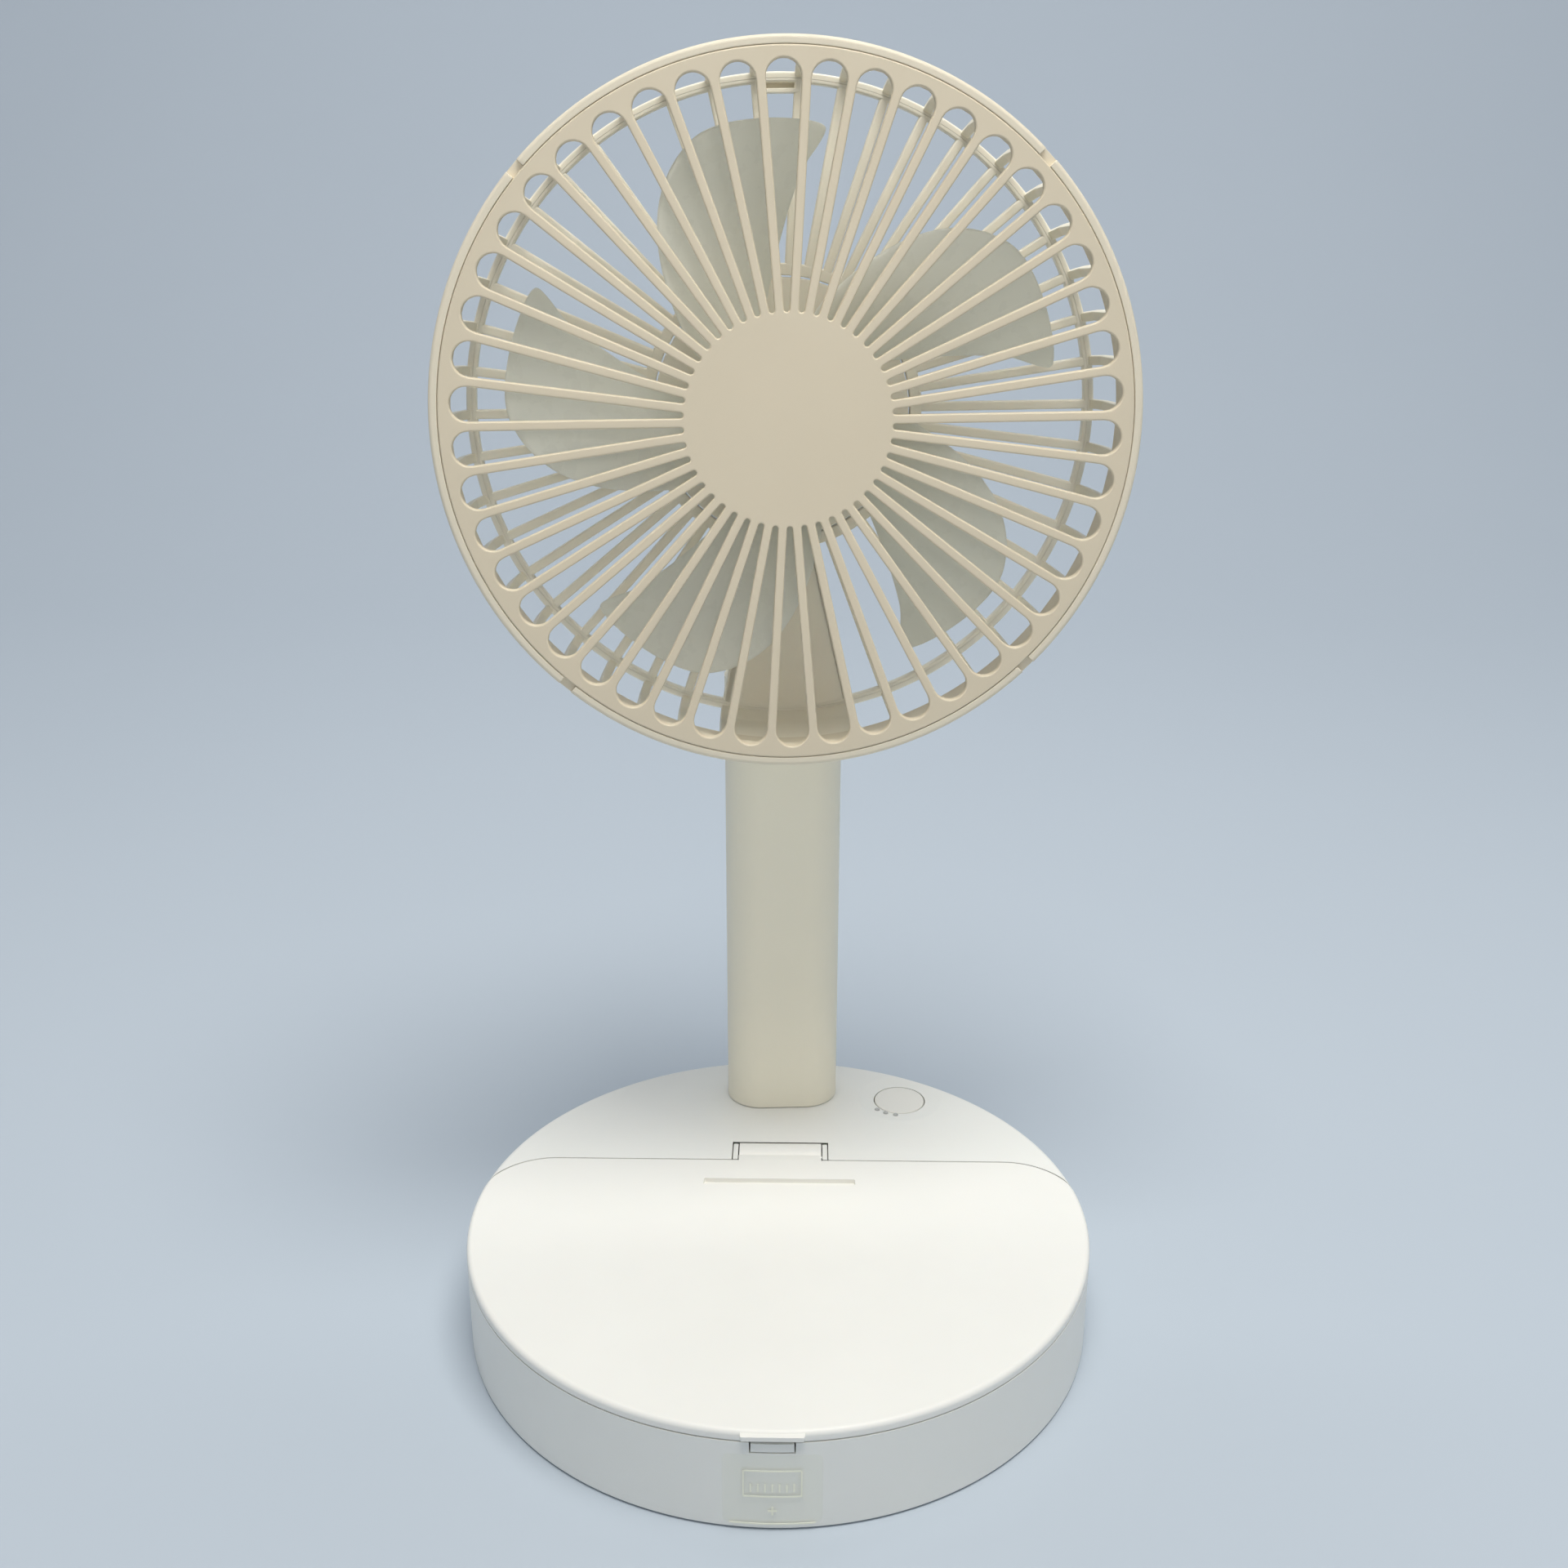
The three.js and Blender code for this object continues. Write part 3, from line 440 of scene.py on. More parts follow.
# ======================================================================== lid
lid_profile = [(0.0, 24.3), (79.4, 24.3)] + fillet([(79.4, 24.3), (80.0, 24.3), (80.0, TOP), (60, TOP)], [0, 0.45, 2.0, 0], 8)[1:-1] + [(0.0, TOP)]
lid = tool([lathe(lid_profile, 256)])
lid.name = "lid_fine"
boolean(lid, tool([front_region(0.45, 0, 60)]), "INTERSECT")
boolean(lid, tool([prism_x([(25.9, 26.4), (25.9, 23.0), (24.0, 23.0), (24.0, 24.2)], -63, 63)]))
neck = fillet([(20.0, 24.25), (HY, 24.25), (HY, TOP), (20.0, TOP)], 0)
kn = arc(HY, HZ, 4.15, 0, 360, 64)[:-1]
boolean(lid, tool([prism_x(kn, -11.35, 11.35)]), "UNION")
boolean(lid, tool([prism_x([(22.0, 24.4), (HY - 0.2, 24.4), (30.2, 24.9), (29.3, TOP - 1.2), (28.5, TOP - 0.35), (27.9, TOP - 0.02), (22.0, TOP - 0.02)], -11.35, 11.35)]), "UNION")
boolean(lid, tool([prism_x(arc(HY, HZ, 1.36, 0, 360, 40)[:-1], -30, 30)]))
boolean(lid, tool([prism(round_rect(-20.35, 20.35, 13.7, 16.6, 0.45, 4), TOP - 1.3, TOP + 3)]))
lip = prism(fillet([(-7.05, -77.0), (-7.05, -80.9), (7.05, -80.9), (7.05, -77.0)], [0, 0.5, 0.5, 0], 4), 25.25, 26.35)
boolean(lid, tool([lip]), "UNION")
boolean(lid, tool([block(-3.6, 3.6, -73.2, -71.6, 20.2, 24.6)]), "UNION")
done(lid, LID, "lid", ("lid",), bevel=0.25, segments=3)

# =============================================================== hinge cradle
def ear_poly():
    return [(26.3, 17.2), (36.9, 17.2), (36.9, HZ)] + arc(HY, HZ, 3.95, 0, 90, 12)[1:] + [(26.3, 26.75)]


cradle = tool([prism_x(ear_poly(), 11.65, 13.0)])
cradle.name = "hinge_cradle_fine"
for part in (prism_x(ear_poly(), -13.0, -11.65), block(-13.0, 13.0, 26.3, 36.9, 17.2, 18.35), block(12.4, 16.8, 28.4, 36.2, 20.6, 24.2), block(-16.8, -12.4, 28.4, 36.2, 20.6, 24.2)):
    boolean(cradle, tool([part]), "UNION")
boolean(cradle, tool([prism_x(arc(HY, HZ, 1.36, 0, 360, 40)[:-1], -30, 30)]))
done(cradle, CREAM_DRUM, "base", ("hinge_cradle",), bevel=0.22)
pin = Geo().add(*prism_x(arc(HY, HZ, 1.2, 0, 360, 40)[:-1], -16.4, 16.4)).obj("hinge_pin_fine")
done(pin, STEEL, "base", ("hinge_pin",), bevel=0.15)

# ============================================================ buttons, lights
front = [(79.97 * sin(rad(a)), -79.97 * cos(rad(a))) for a in [3.44 * k / 8 for k in range(-8, 9)]]
latch = prism(front + [(4.8, -75.2), (-4.8, -75.2)], 21.5, 23.7)
lb = Geo().add(*latch).obj("latch_button_fine")
boolean(lb, tool([block(-7.1, 7.1, -77.0, -75.4, 21.5, 23.7)]), "UNION")
done(lb, CREAM_DRUM, "latch", ("latch_button",), bevel=0.25, segments=3)

cap = [(0.0, 22.95), (8.3, 22.95), (8.3, 23.6), (7.2, 23.6)] + fillet([(7.2, 24.0), (7.2, 26.42), (3.0, 26.36)], [0, 0.35, 0], 7)[1:-1] + [(5.0, 26.37), (3.0, 26.33), (0.0, 26.31)]
pb = Geo().add(*lathe(cap, 96)).obj("power_button_fine", shift(34.4, 58.5, 0))
done(pb, BUTTON, "power", ("power_button",), sharp=30)
# the light lenses fill their holes almost flush; their dark grey is partly painted shade for the holes
for i, (x, y) in enumerate(LEDS):
    o = Geo().add(*lathe([(0, 23.95), (0.7, 23.95), (0.7, TOP - 0.35), (0.62, TOP - 0.18), (0.4, TOP - 0.07), (0, TOP - 0.05)], 24)).obj("light_%d_fine" % (i + 1), shift(x, y, 0))
    done(o, GREY_LENS_AND_HOLE_SHADE, "base", ("indicator_light_%d" % (i + 1),), sharp=60)


# ====================================================================== label
def curved_patch(g, x0, x1, z0, z1, corner, r0, r1, cols=28, rows=6):
    """A thin plate that follows the drum wall, with rounded corners."""
    xs = [x0 + (x1 - x0) * (0.5 - 0.5 * cos(pi * k / cols)) for k in range(cols + 1)]
    idx = []
    base = len(g.v)
    for x in xs:
        d = max(0.0, corner - min(x - x0, x1 - x)) if corner else 0
        inset = corner - math.sqrt(max(0.0, corner ** 2 - d ** 2)) if corner else 0
        lo, hi = z0 + inset, z1 - inset
        for r in (r0, r1):
            for k in range(rows + 1):
                z = lo + (hi - lo) * k / rows
                g.v.append((r * sin(x / r0), -r * cos(x / r0), z))
    n = rows + 1
    at = lambda c, side, k: base + (c * 2 + side) * n + k
    for c in range(cols):
        for k in range(rows):
            g.f.append([at(c, 1, k), at(c + 1, 1, k), at(c + 1, 1, k + 1), at(c, 1, k + 1)])
            g.f.append([at(c, 0, k), at(c, 0, k + 1), at(c + 1, 0, k + 1), at(c + 1, 0, k)])
        g.f.append([at(c, 0, 0), at(c + 1, 0, 0), at(c + 1, 1, 0), at(c, 1, 0)])
        g.f.append([at(c, 0, rows), at(c, 1, rows), at(c + 1, 1, rows), at(c + 1, 0, rows)])
    for c in (0, cols):
        for k in range(rows):
            g.f.append([at(c, 0, k), at(c, 1, k), at(c, 1, k + 1), at(c, 0, k + 1)])
    return g


g = curved_patch(Geo(), -11.1, 11.1, 1.9, 20.8, 1.7, 80.08, 80.3)
lab = g.obj("label_fine")
done(lab, FILM, "base", ("front_label",), sharp=50)
print_and_highlight = Geo()
for x0, x1, z0, z1 in ((-6.6, 6.6, 16.6, 16.95), (-6.6, 6.6, 9.6, 9.95), (-6.6, -6.25, 9.6, 16.95), (6.25, 6.6, 9.6, 16.95)):
    curved_patch(print_and_highlight, x0, x1, z0, z1, 0, 80.42, 80.47, 16, 2)
for k in range(7):
    x = -4.8 + k * 1.6
    curved_patch(print_and_highlight, x - 0.2, x + 0.2, 11.0, 13.2, 0, 80.42, 80.47, 2, 2)
curved_patch(print_and_highlight, -1.0, 1.0, 5.6, 6.0, 0, 80.42, 80.47, 4, 2)
curved_patch(print_and_highlight, -0.2, 0.2, 4.6, 7.0, 0, 80.42, 80.47, 2, 2)
# painted highlight: a bright strip in the print colour along the label's lower edge, standing in for light caught by
# the film edge
curved_patch(print_and_highlight, -9.6, 9.6, 1.95, 2.3, 0, 80.31, 80.4, 24, 2)
done(print_and_highlight.obj("label_marks_fine"), PRINT_AND_EDGE_HIGHLIGHT, "base")

# ======================================================================= pole
HW, HD = 15.8, 10.0
top_z, slot_z = 155.0, 133.8
outer = round_rect(-HW, HW, -HD, HD, 9.6, 20)
inner = round_rect(-HW + 2.2, HW - 2.2, -HD + 2.2, HD - 2.2, 7.4, 16)
ear = [(-15, 20), (15, 20), (15, 137), (10, 146)] + [(y, min(z, top_z)) for y, z in arc(0, 146, 10, 0, 180, 32)][1:-1] + [(-10, 146), (-15, 137)]
for side, name, node in ((-1, "pole_front_fine", "pole_front_shell"), (1, "pole_rear_fine", "pole_rear_shell")):
    o = Geo().add(*prism(outer, 27.2, top_z)).obj(name)
    boolean(o, tool([prism_x(ear, -30, 30)]), "INTERSECT")
    boolean(o, tool([prism(inner, 20, 130.5)]))
    boolean(o, tool([block(-7.5, 7.5, -20, 20, slot_z, 170), prism(arc(0, 0, 4, 0, 360, 40)[:-1], 128, 133.0)][:1]))
    boolean(o, tool([prism(arc(0, 0, 4, 0, 360, 40)[:-1], 128, 140)]))
    boolean(o, tool([prism_x(arc(0, 146, 2.68, 0, 360, 48)[:-1], -30, 30)]))
    boolean(o, tool([block(-40, 40, -0.12 if side < 0 else -40, 40 if side < 0 else 0.12, 0, 200)]))
    if side > 0:
        for z in (44, 118):
            v, f = lathe([(0, -20), (2.7, -20), (2.7, -7.8), (0, -7.8)], 40)
            boolean(o, tool([(v, f)], shift(9.5, 0, z) @ turn("X", 90)))
    for vert in o.data.vertices:
        vert.co = POLE.to_3x3() @ vert.co + POLE.translation * 0.001
    done(o, CREAM, "pole", (node,), bevel=0.25 if side > 0 else 0.3, segments=3)


def screw(name, node, m, r, body, z0, z1, shank_r, tip):
    """Cross-head screw along +Z of m: head from z0 to z1, shank on to tip."""
    o = Geo().add(*lathe([(0, z0)] + fillet([(r * 0.8, z0), (r, z0 + 0.25), (r, z1)], [0.2, 0.2, 0], 3)[:-1] + [(r, z1), (shank_r, z1), (shank_r, tip), (0, tip)], 36)).obj(name)
    cross = Geo()
    cross.add(*block(-r * 0.55, r * 0.55, -0.3, 0.3, z0 - 1, z0 + 0.55))
    o2 = cross.obj("tool")
    boolean(o, o2)
    boolean(o, Geo().add(*block(-0.3, 0.3, -r * 0.55, r * 0.55, z0 - 1, z0 + 0.55)).obj("tool"))
    for vert in o.data.vertices:
        vert.co = m.to_3x3() @ vert.co + m.translation * 0.001
    done(o, STEEL, body, (node,), bevel=0.05, sharp=40)


for i, z in enumerate((44, 118)):
    screw("pole_screw_%d_fine" % (i + 1), "pole_screw_%d" % (i + 1), POLE @ shift(9.5, 0, z) @ turn("X", 90), 2.2, "pole", -9.5, -8.1, 1.15, 6.6)
for i, x in enumerate((-8, 8)):
    screw("motor_screw_%d_fine" % (i + 1), "motor_screw_%d" % (i + 1), HEAD @ shift(x, 0, 0), 2.1, "head", 15.5, 16.7, 1.0, 24.5)
for i, (x, y) in enumerate(((52, 46), (-52, 46), (50, -44), (-50, -44))):
    screw("cover_screw_%d_fine" % (i + 1), "cover_screw_%d" % (i + 1), shift(x, y, 0), 3.0, "base", 1.0, 1.62, 1.25, 6.8)
for i, (x, y) in enumerate(((42, 55), (-42, 55), (44, -55), (-44, -55))):
    o = Geo().add(*lathe([(0, 0)] + fillet([(6.4, 0), (7.0, 0), (7.0, 0.9)], [0, 0.4, 0], 4)[1:-1] + [(7.0, 1.2), (0, 1.2)], 48)).obj("foot_%d_fine" % (i + 1), shift(x, y, 0))
    done(o, RUBBER, "base", ("rubber_foot_%d" % (i + 1),), sharp=40)
pin = Geo().add(*prism_x(arc(0, 146, 2.5, 0, 360, 48)[:-1], -15.4, 15.4)).obj("tilt_pin_fine", POLE)
done(pin, STEEL, "pole", ("tilt_pin",), bevel=0.3, segments=3)

# =============================================================== front grille
PF, PT, PR = 60.25, 2.2, 77.72
N, H = 46, rad(180.0 / 46)
SLOT_END, SPOKE, DISC = 75.12, 2.05, 23.9
k_ = sin(H)
cap_r = (SLOT_END * k_ - SPOKE / 2) / (1 + k_)
cap_c = SLOT_END - cap_r
in_r = 0.62
in_c = None
# small round end where the slot is as wide as the little circle
in_c = (in_r + SPOKE / 2) / k_
half_out = [(cap_c + cap_r * cos(rad(t)), cap_r * sin(rad(t))) for t in [0, 15, 30, 45, 60, 75, 90 - math.degrees(H) * -1]]
half_in = [(in_c + in_r * cos(rad(t)), in_r * sin(rad(t))) for t in [90 + math.degrees(H) * 1, 112, 135, 158, 180]]


def rot2(p, a):
    return (p[0] * cos(a) - p[1] * sin(a), p[0] * sin(a) + p[1] * cos(a))


plate = Geo()
sectors = []
vid = {}


def vert(p):
    key = (round(p[0], 4), round(p[1], 4))
    if key not in vid:
        vid[key] = len(vid)
    return vid[key]


hub_r = 22.4
faces2d = []
for i in range(N):
    c = rad(90 + (i + 0.5) * 360 / N)      # spoke centre
    l, r_ = c + H, c - H                   # slot centres on both sides
    poly = []
    for k in range(5):
        a = r_ + (l - r_) * k / 4
        poly.append((PR * cos(a), PR * sin(a)))
    # down the left slot's near half (its lower-angle side)
    poly += [rot2((x, -y), l) for x, y in half_out]
    poly += [rot2((x, -y), l) for x, y in half_in]
    for k in range(3):
        a = l + (r_ - l) * k / 2
        poly.append((hub_r * cos(a), hub_r * sin(a)))
    poly += [rot2((x, y), r_) for x, y in half_in[::-1]]
    poly += [rot2((x, y), r_) for x, y in half_out[::-1]]
    faces2d.append([vert(p) for p in poly])
hub_ring = []
for i in range(N):
    c = rad(90 + (i + 0.5) * 360 / N)
    hub_ring += [vert((hub_r * cos(c - H), hub_r * sin(c - H))), vert((hub_r * cos(c), hub_r * sin(c)))]
faces2d.append(hub_ring)
pts2 = [None] * len(vid)
for (x, y), i in vid.items():
    pts2[i] = (x, y)
edge_count = {}
for f in faces2d:
    for a, b in zip(f, f[1:] + f[:1]):
        edge_count[(a, b)] = edge_count.get((a, b), 0) + 1
n = len(pts2)
plate.v = [(x, y, PF) for x, y in pts2] + [(x, y, PF - PT) for x, y in pts2]
plate.f = [list(f) for f in faces2d] + [[i + n for i in f][::-1] for f in faces2d]
for (a, b) in edge_count:
    if (b, a) not in edge_count:
        plate.f.append([b, a, a + n, b + n])
grille = plate.obj("front_grille_fine", HEAD)
done(grille, GRILLE, "head", ("front_grille",), bevel=0.42, segments=3, angle=50, sharp=50)

# ================================================================= rear guard
RP = 19.9
guard = Geo()
rim = fillet([(77.8, 60.1), (79.82, 60.1), (79.82, 42.6), (77.4, 42.6), (77.4, 52.5), (75.5, 54.6), (75.5, 57.7), (77.8, 57.7)], [0.25, 1.5, 0.5, 0.5, 0, 0, 0.2, 0], 8)
rim_o = Geo().add(*lathe(rim, 288)).obj("guard_rim_fine")
for a in (44, 137, 228.6, 314):
    v, f = block(77.0, 84, -1.7, 1.7, 58.6, 64)
    boolean(rim_o, tool([(v, f)], turn("Z", a)))
for vt in rim_o.data.vertices:
    vt.co = HEAD.to_3x3() @ vt.co + HEAD.translation * 0.001
done(rim_o, RIM, "head", ("head_rim",), bevel=0.12, sharp=35)

finger_poly = fillet([(79.84, 43.2), (79.84, 36), (79.1, 27), (77.0, RP + 0.8), (76.2, RP), (75.2, RP), (75.2, RP + 2.8), (75.7, RP + 2.8), (77.4, 28), (77.4, 43.2)],
                     [0, 12, 9, 1.2, 0.3, 0, 0, 1.5, 5, 0], 5)
flat_poly = fillet([(75.1, RP), (31.6, RP), (31.6, RP + 2.8), (75.1, RP + 2.8)], [0, 0, 0, 0], 4)
fingers = Geo()
for i in range(46):
    a = 90 + (i + 0.5) * 360 / 46
    off = (a + 90 + 180) % 360 - 180
    if abs(off) < 1.1 * 360 / 46:
        continue
    for g, poly in ((fingers, finger_poly), (guard, flat_poly)):
        v, f = prism(poly, -1.1, 1.1)          # (r, w, t)
        g.add([(r, t, w) for r, w, t in v], f, turn("Z", a))
fingers.add(*lathe(finger_poly, 18, -90 - 12.5, -90 + 12.5))
guard.add(*lathe(flat_poly, 18, -90 - 12.5, -90 + 12.5))
done(fingers.obj("rim_fingers_fine", HEAD), GUARD, "head", ("head_rim",), bevel=0.5, segments=3, angle=50, sharp=50)
done(guard.obj("guard_ribs_fine", HEAD), GUARD, "head", ("rear_guard",), bevel=0.5, segments=3, angle=50, sharp=50)
foot = Geo().add(*lathe(fillet([(75.18, RP), (76.56, RP), (76.56, RP + 2.85), (75.18, RP + 2.85)], [0, 0.6, 0.5, 0], 4), 288))
done(foot.obj("rim_foot_fine", HEAD), GUARD, "head", ("head_rim",), sharp=35)
rings = Geo()
rings.add(*lathe(fillet([(74.14, RP), (75.12, RP), (75.12, RP + 2.85), (74.14, RP + 2.85)], [0.4, 0, 0, 0.5], 4), 288))
rings.add(*lathe(fillet([(31.35, RP + 2.85), (31.35, RP), (34.2, RP), (34.2, RP + 2.85)], [0.3, 0.3, 0.4, 0.5], 4), 160))
cup = [(0.0, 17.0)] + fillet([(10, 17.0), (28.4, 17.0), (31.0, 19.4), (31.0, 22.65), (20, 22.65)], [0, 3.0, 0.8, 0.4, 0], 6)[1:-1] + [(15.2, 22.65), (15.2, 30.0), (13.5, 30.0), (13.5, 19.6), (0.0, 19.6)]
done(rings.obj("guard_rings_fine", HEAD), GUARD, "head", ("rear_guard",), sharp=35)
cup_o = Geo().add(*lathe(cup, 160)).obj("motor_cup_fine")
for x in (-8, 8):
    boolean(cup_o, tool([lathe([(0, 15), (1.3, 15), (1.3, 25), (0, 25)], 28)], shift(x, 0, 0)))
for vt in cup_o.data.vertices:
    vt.co = HEAD.to_3x3() @ vt.co + HEAD.translation * 0.001
done(cup_o, GUARD, "head", ("motor_cup",), sharp=35)
tab = Geo().add(*prism(fillet([(-5.3, 71.9), (5.3, 71.9), (5.3, 74.9), (-5.3, 74.9)], [0.5, 0.5, 0, 0], 4), RP, RP + 2.9)).obj("guard_tab_fine")
boolean(tab, tool([prism(fillet([(-4.4, 72.9), (4.4, 72.9), (4.4, 74.45), (-4.4, 74.45)], 0.3, 3), RP + 0.9, RP + 9)]))
for vt in tab.data.vertices:
    vt.co = HEAD.to_3x3() @ vt.co + HEAD.translation * 0.001
done(tab, GUARD, "head", ("rear_guard",), bevel=0.2)
tongue_poly = [(19.6, 4.8 - HUB_UP), (19.6, 36 - HUB_UP), (17.4, 36 - HUB_UP), (7.6, 6.5 - HUB_UP)] + arc(0, -HUB_UP, 8.6, 40, 290, 28)
v, f = prism(tongue_poly, -6.7, 6.7)
tg = Geo()
tg.add([(c, b, a) for a, b, c in v], f)
tongue = tg.obj("tilt_arm_fine")
bore = [(p[0], p[1]) for p in arc(-HUB_UP, 0, 2.68, 0, 360, 48)[:-1]]
v, f = prism(bore, -20, 20)
boolean(tongue, tool([([(c, a, b) for a, b, c in v], f)]))
for vt in tongue.data.vertices:
    vt.co = HEAD.to_3x3() @ vt.co + HEAD.translation * 0.001
done(tongue, GUARD, "head", ("tilt_arm",), bevel=0.6, segments=3)

# ====================================================================== rotor
rows = [(17.6, 104, 149), (19, 103, 148), (25, 98.5, 145), (32, 93.8, 138.4), (40, 90, 132), (48, 87, 126), (55, 84.5, 120), (60, 81.8, 114.2), (63.4, 80.6, 108.5), (64.6, 81.6, 104.6), (65, 84.4, 100.6)]


def edge(u, col):
    """Smooth curve through the rows; u runs over the row numbers."""
    i = min(int(u), len(rows) - 2)
    t = u - i
    p = [rows[max(0, min(len(rows) - 1, i + d))] for d in (-1, 0, 1, 2)]
    h = lambda c: 0.5 * ((2 * p[1][c]) + (-p[0][c] + p[2][c]) * t + (2 * p[0][c] - 5 * p[1][c] + 4 * p[2][c] - p[3][c]) * t * t + (-p[0][c] + 3 * p[1][c] - 3 * p[2][c] + p[3][c]) * t ** 3)
    return h(0), h(col)


def blade(g, k):
    nu, ns = 40, 22
    base = len(g.v)
    for side in (1, -1):
        for iu in range(nu + 1):
            u = (len(rows) - 1) * iu / nu
            r, lo = edge(u, 1)
            _, hi = edge(u, 2)
            mid = (lo + hi) / 2
            for js in range(ns + 1):
                s = 0.5 - 0.5 * cos(pi * js / ns)
                a = lo + (hi - lo) * s
                q = abs(2 * s - 1)
                t = 0.78 * math.sqrt(max(0.0, 1 - q ** 8)) * (1 if iu < nu else 0.15) * (1.25 - 0.45 * iu / nu)
                z = 40 + 19 * rad(a - mid) + 1.3 * sin(pi * s) * (1 - 0.3 * iu / nu) + side * t
                ang = rad(a + 72 * k)
                g.v.append((r * cos(ang), r * sin(ang), z))
    m = (nu + 1) * (ns + 1)
    at = lambda side, i, j: base + side * m + i * (ns + 1) + j
    for i in range(nu):
        for j in range(ns):
            g.f.append([at(0, i, j), at(0, i, j + 1), at(0, i + 1, j + 1), at(0, i + 1, j)])
            g.f.append([at(1, i, j), at(1, i + 1, j), at(1, i + 1, j + 1), at(1, i, j + 1)])
        g.f.append([at(0, i, 0), at(0, i + 1, 0), at(1, i + 1, 0), at(1, i, 0)])
        g.f.append([at(0, i, ns), at(1, i, ns), at(1, i + 1, ns), at(0, i + 1, ns)])
    for j in range(ns):
        g.f.append([at(0, nu, j), at(0, nu, j + 1), at(1, nu, j + 1), at(1, nu, j)])
        g.f.append([at(0, 0, j), at(1, 0, j), at(1, 0, j + 1), at(0, 0, j + 1)])


rotor = Geo()
for k in range(5):
    blade(rotor, k)
hub_p = [(1.72, 39.2), (4.2, 39.2), (4.2, 45.6), (16.8, 45.6), (16.8, 32.5), (19.6, 32.5), (19.6, 45.2)] + arc(14.6, 45.4, 5.0, 0, 80, 8)[1:] + [(11.0, 51.0), (7.0, 51.4), (1.72, 51.6)]
rotor.add(*lathe(hub_p, 96))
ro = rotor.obj("fan_rotor_fine", HEAD)
done(ro, MILKY, "rotor", ("fan_rotor",), sharp=45)
sh = Geo().add(*lathe([(0, 23), (1.2, 23), (1.45, 23.4), (1.45, 49.3), (1.2, 49.6), (0, 49.6)], 36)).obj("motor_shaft_fine", HEAD)
done(sh, STEEL, "rotor", ("motor_shaft",), sharp=30)
mo = [(0.0, 19.9), (12.6, 19.9)] + fillet([(12.6, 19.9), (13.1, 19.9), (13.1, 36.6), (5.2, 37.0), (5.0, 38.4), (2.0, 38.4)], [0, 0.4, 1.2, 0.4, 0.5, 0], 4)[1:-1] + [(1.9, 38.4), (1.9, 22), (0.0, 22)]
motor = Geo().add(*lathe(mo, 96)).obj("motor_fine", HEAD)
done(motor, STEEL, "head", ("motor",), sharp=35)

# ================================================= CAD nodes that stay as made
keep = {
    "bottom_cover": CREAM_DRUM, "ballast_plate": BALLAST, "battery_left": CELL, "battery_right": CELL,
    "control_board": BOARD, "tact_switch": BLACK, "charging_port": STEEL, "swivel_washer": NYLON,
    "swivel_spindle": NYLON, "swivel_nut": STEEL, "power_lead": BLACK,
    "tilt_washer_left": NYLON, "tilt_washer_right": NYLON,
}
for node, mat in keep.items():
    o = NODES[node]
    if not o.material_slots:
        o.data.materials.append(mat)
    for s in o.material_slots:
        s.material = mat

# ============================================================ floor and light
def sweep():
    pts = [(-7.0, 0.0), (0.7, 0.0)] + [(0.7 + 1.1 * sin(rad(a)), 1.1 - 1.1 * cos(rad(a))) for a in range(3, 91, 3)] + [(1.8, 7.0)]
    v, f = [], []
    for y, z in pts:
        v += [(-9.0, y, z), (9.0, y, z)]
    for i in range(len(pts) - 1):
        f.append([2 * i, 2 * i + 1, 2 * i + 3, 2 * i + 2])
    me = bpy.data.meshes.new("studio_floor")
    me.from_pydata(v, [], f)
    for p in me.polygons:
        p.use_smooth = True
    o = bpy.data.objects.new("studio_floor", me)
    bpy.context.scene.collection.objects.link(o)
    m, nt, out = material("studio floor")
    co = nt.nodes.new("ShaderNodeTexCoord").outputs["Object"]
    p = nt.nodes.new("ShaderNodeBsdfPrincipled")
    p.inputs["Roughness"].default_value = 0.85
    p.inputs["Specular IOR Level"].default_value = 0.15
    mix = nt.nodes.new("ShaderNodeMix")
    mix.data_type = "RGBA"
    mix.inputs["A"].default_value = (0.52, 0.58, 0.64, 1)
    mix.inputs["B"].default_value = (0.54, 0.60, 0.66, 1)
    link(nt, noise(nt, co, 3.0).outputs["Fac"], mix.inputs["Factor"])
    link(nt, mix.outputs["Result"], p.inputs["Base Color"])
    link(nt, p.outputs["BSDF"], out.inputs["Surface"])
    me.materials.append(m)


sweep()


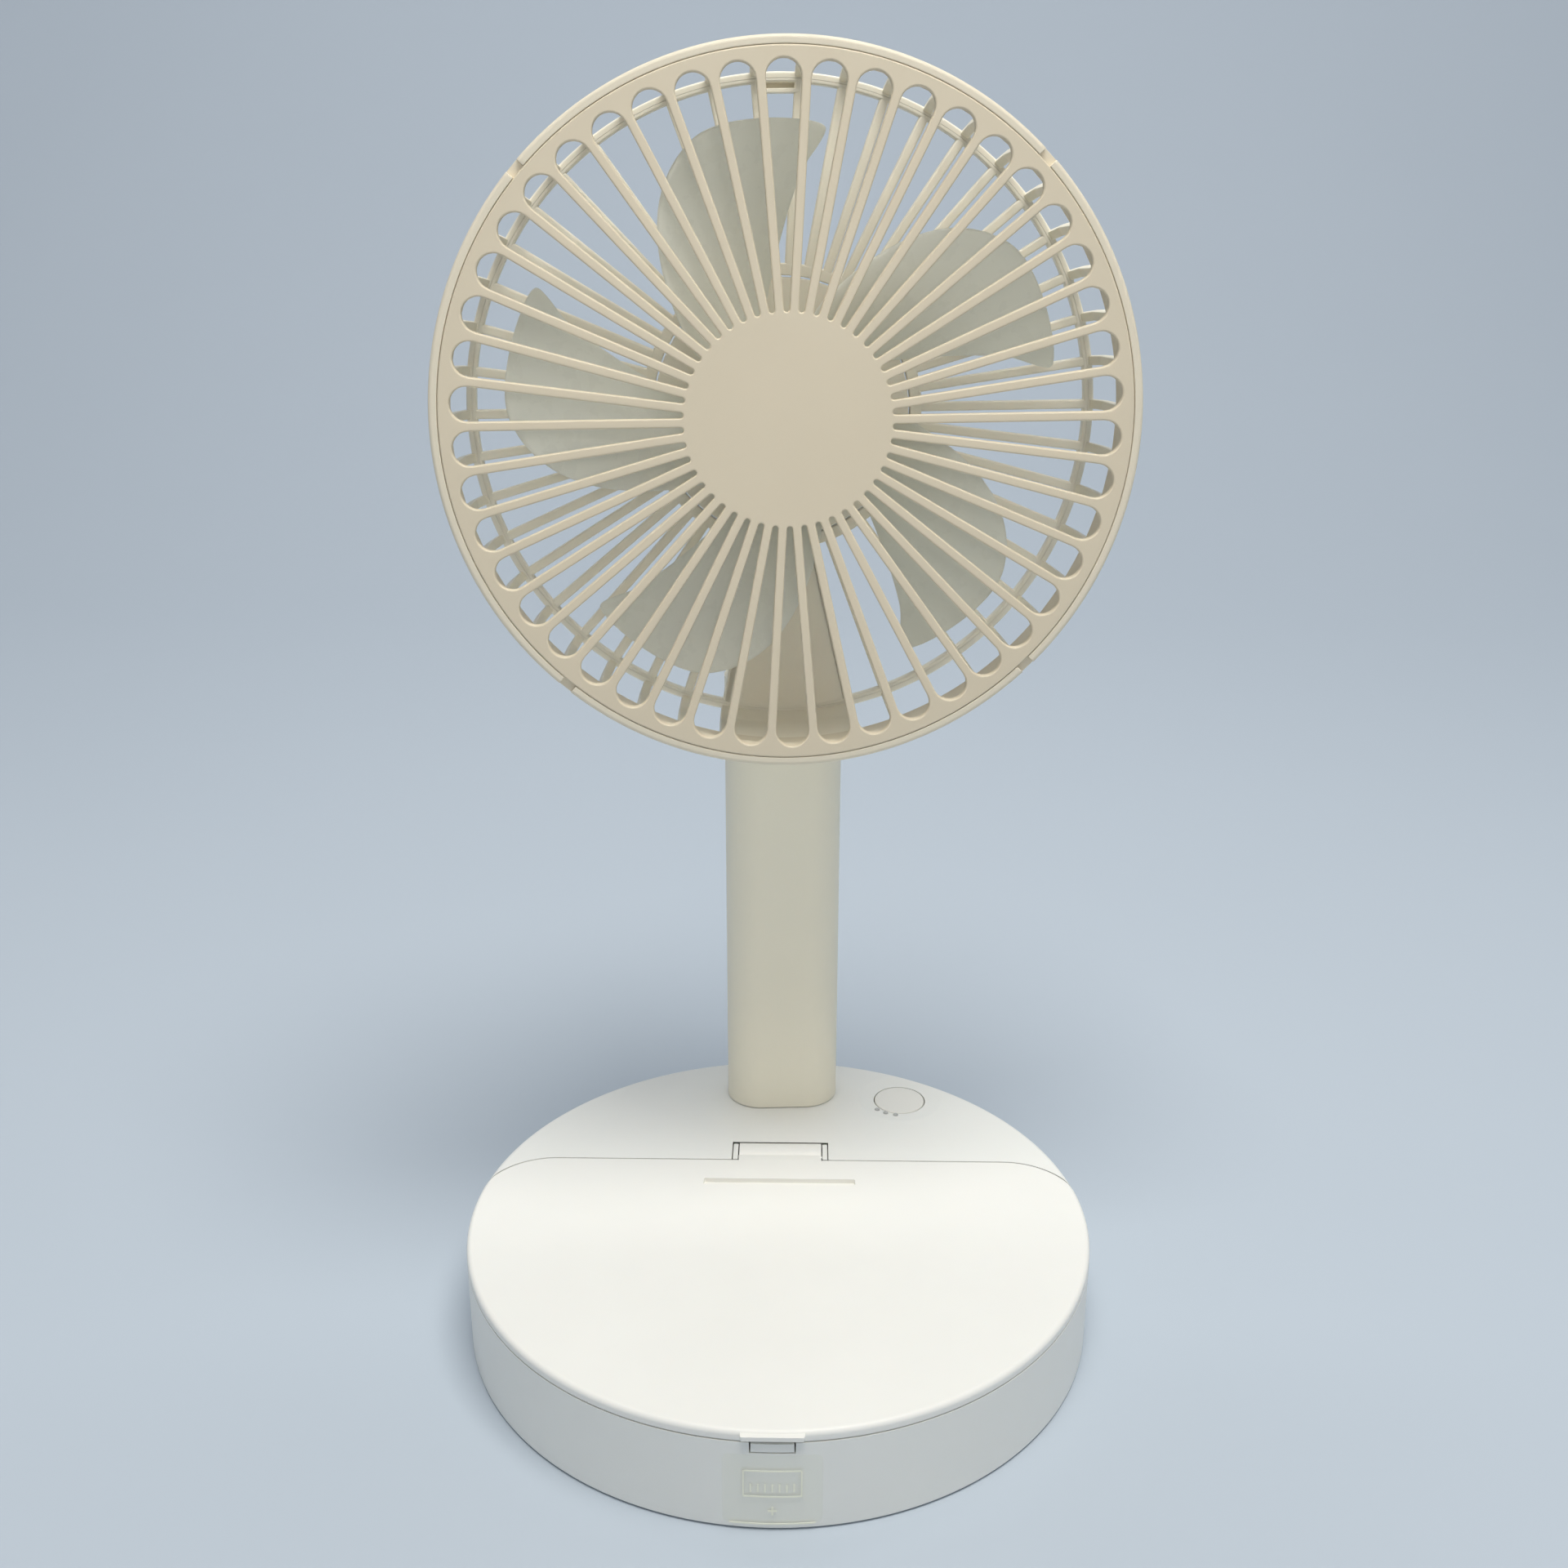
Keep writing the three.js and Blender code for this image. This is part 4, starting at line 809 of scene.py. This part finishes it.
def area(name, loc, target, size, power, color=(1, 1, 1)):
    l = bpy.data.lights.new(name, "AREA")
    l.shape = "RECTANGLE"
    l.size, l.size_y = size
    l.energy = power
    l.color = color
    o = bpy.data.objects.new(name, l)
    o.location = loc
    d = Vector(target) - Vector(loc)
    o.rotation_euler = d.to_track_quat("-Z", "Y").to_euler()
    bpy.context.scene.collection.objects.link(o)
    return o


area("key", (0.12, -0.30, 1.25), (0, 0.0, 0.1), (0.7, 0.5), 11.0, (1.0, 0.985, 0.945))
area("fill", (0.4, -1.5, 1.3), (0, 0, 0.2), (1.4, 1.0), 0.9, (1.0, 0.98, 0.95))
area("head fill", (0.10, -0.95, 0.48), (0, 0.02, 0.262), (0.3, 0.2), 0.04, (1.0, 0.97, 0.91)).data.spread = rad(22)
area("backdrop", (0.0, 0.75, 1.9), (0, 1.75, 0.35), (2.6, 0.5), 14.0, (1.0, 0.99, 0.97))
world = bpy.data.worlds.new("soft sky")
world.use_nodes = True
bg = world.node_tree.nodes["Background"]
bg.inputs["Color"].default_value = (0.86, 0.91, 1.0, 1)
bg.inputs["Strength"].default_value = 0.34
bpy.context.scene.world = world
bpy.context.scene.view_settings.view_transform = "Standard"

# ===================================================================== camera
cam = bpy.data.cameras.new("camera")
cam.sensor_fit = "HORIZONTAL"
cam.sensor_width = 36.0
cam.lens = 36.0 * 2067.0 / 1920.0
cam.clip_start, cam.clip_end = 0.01, 50.0
co = bpy.data.objects.new("camera", cam)
yaw, pitch, roll = rad(0.7), rad(20.449), rad(0.19)
fwd = Vector((-sin(yaw) * cos(pitch), cos(yaw) * cos(pitch), -sin(pitch)))
right = Vector((cos(yaw), sin(yaw), 0.0))
up = right.cross(fwd)
r2 = right * cos(roll) + up * sin(roll)
u2 = up * cos(roll) - right * sin(roll)
m4 = Matrix((r2, u2, -fwd)).transposed().to_4x4()
m4.translation = Vector((0.00562, -0.37258, 0.28558))
co.matrix_world = m4
bpy.context.scene.collection.objects.link(co)
bpy.context.scene.camera = co
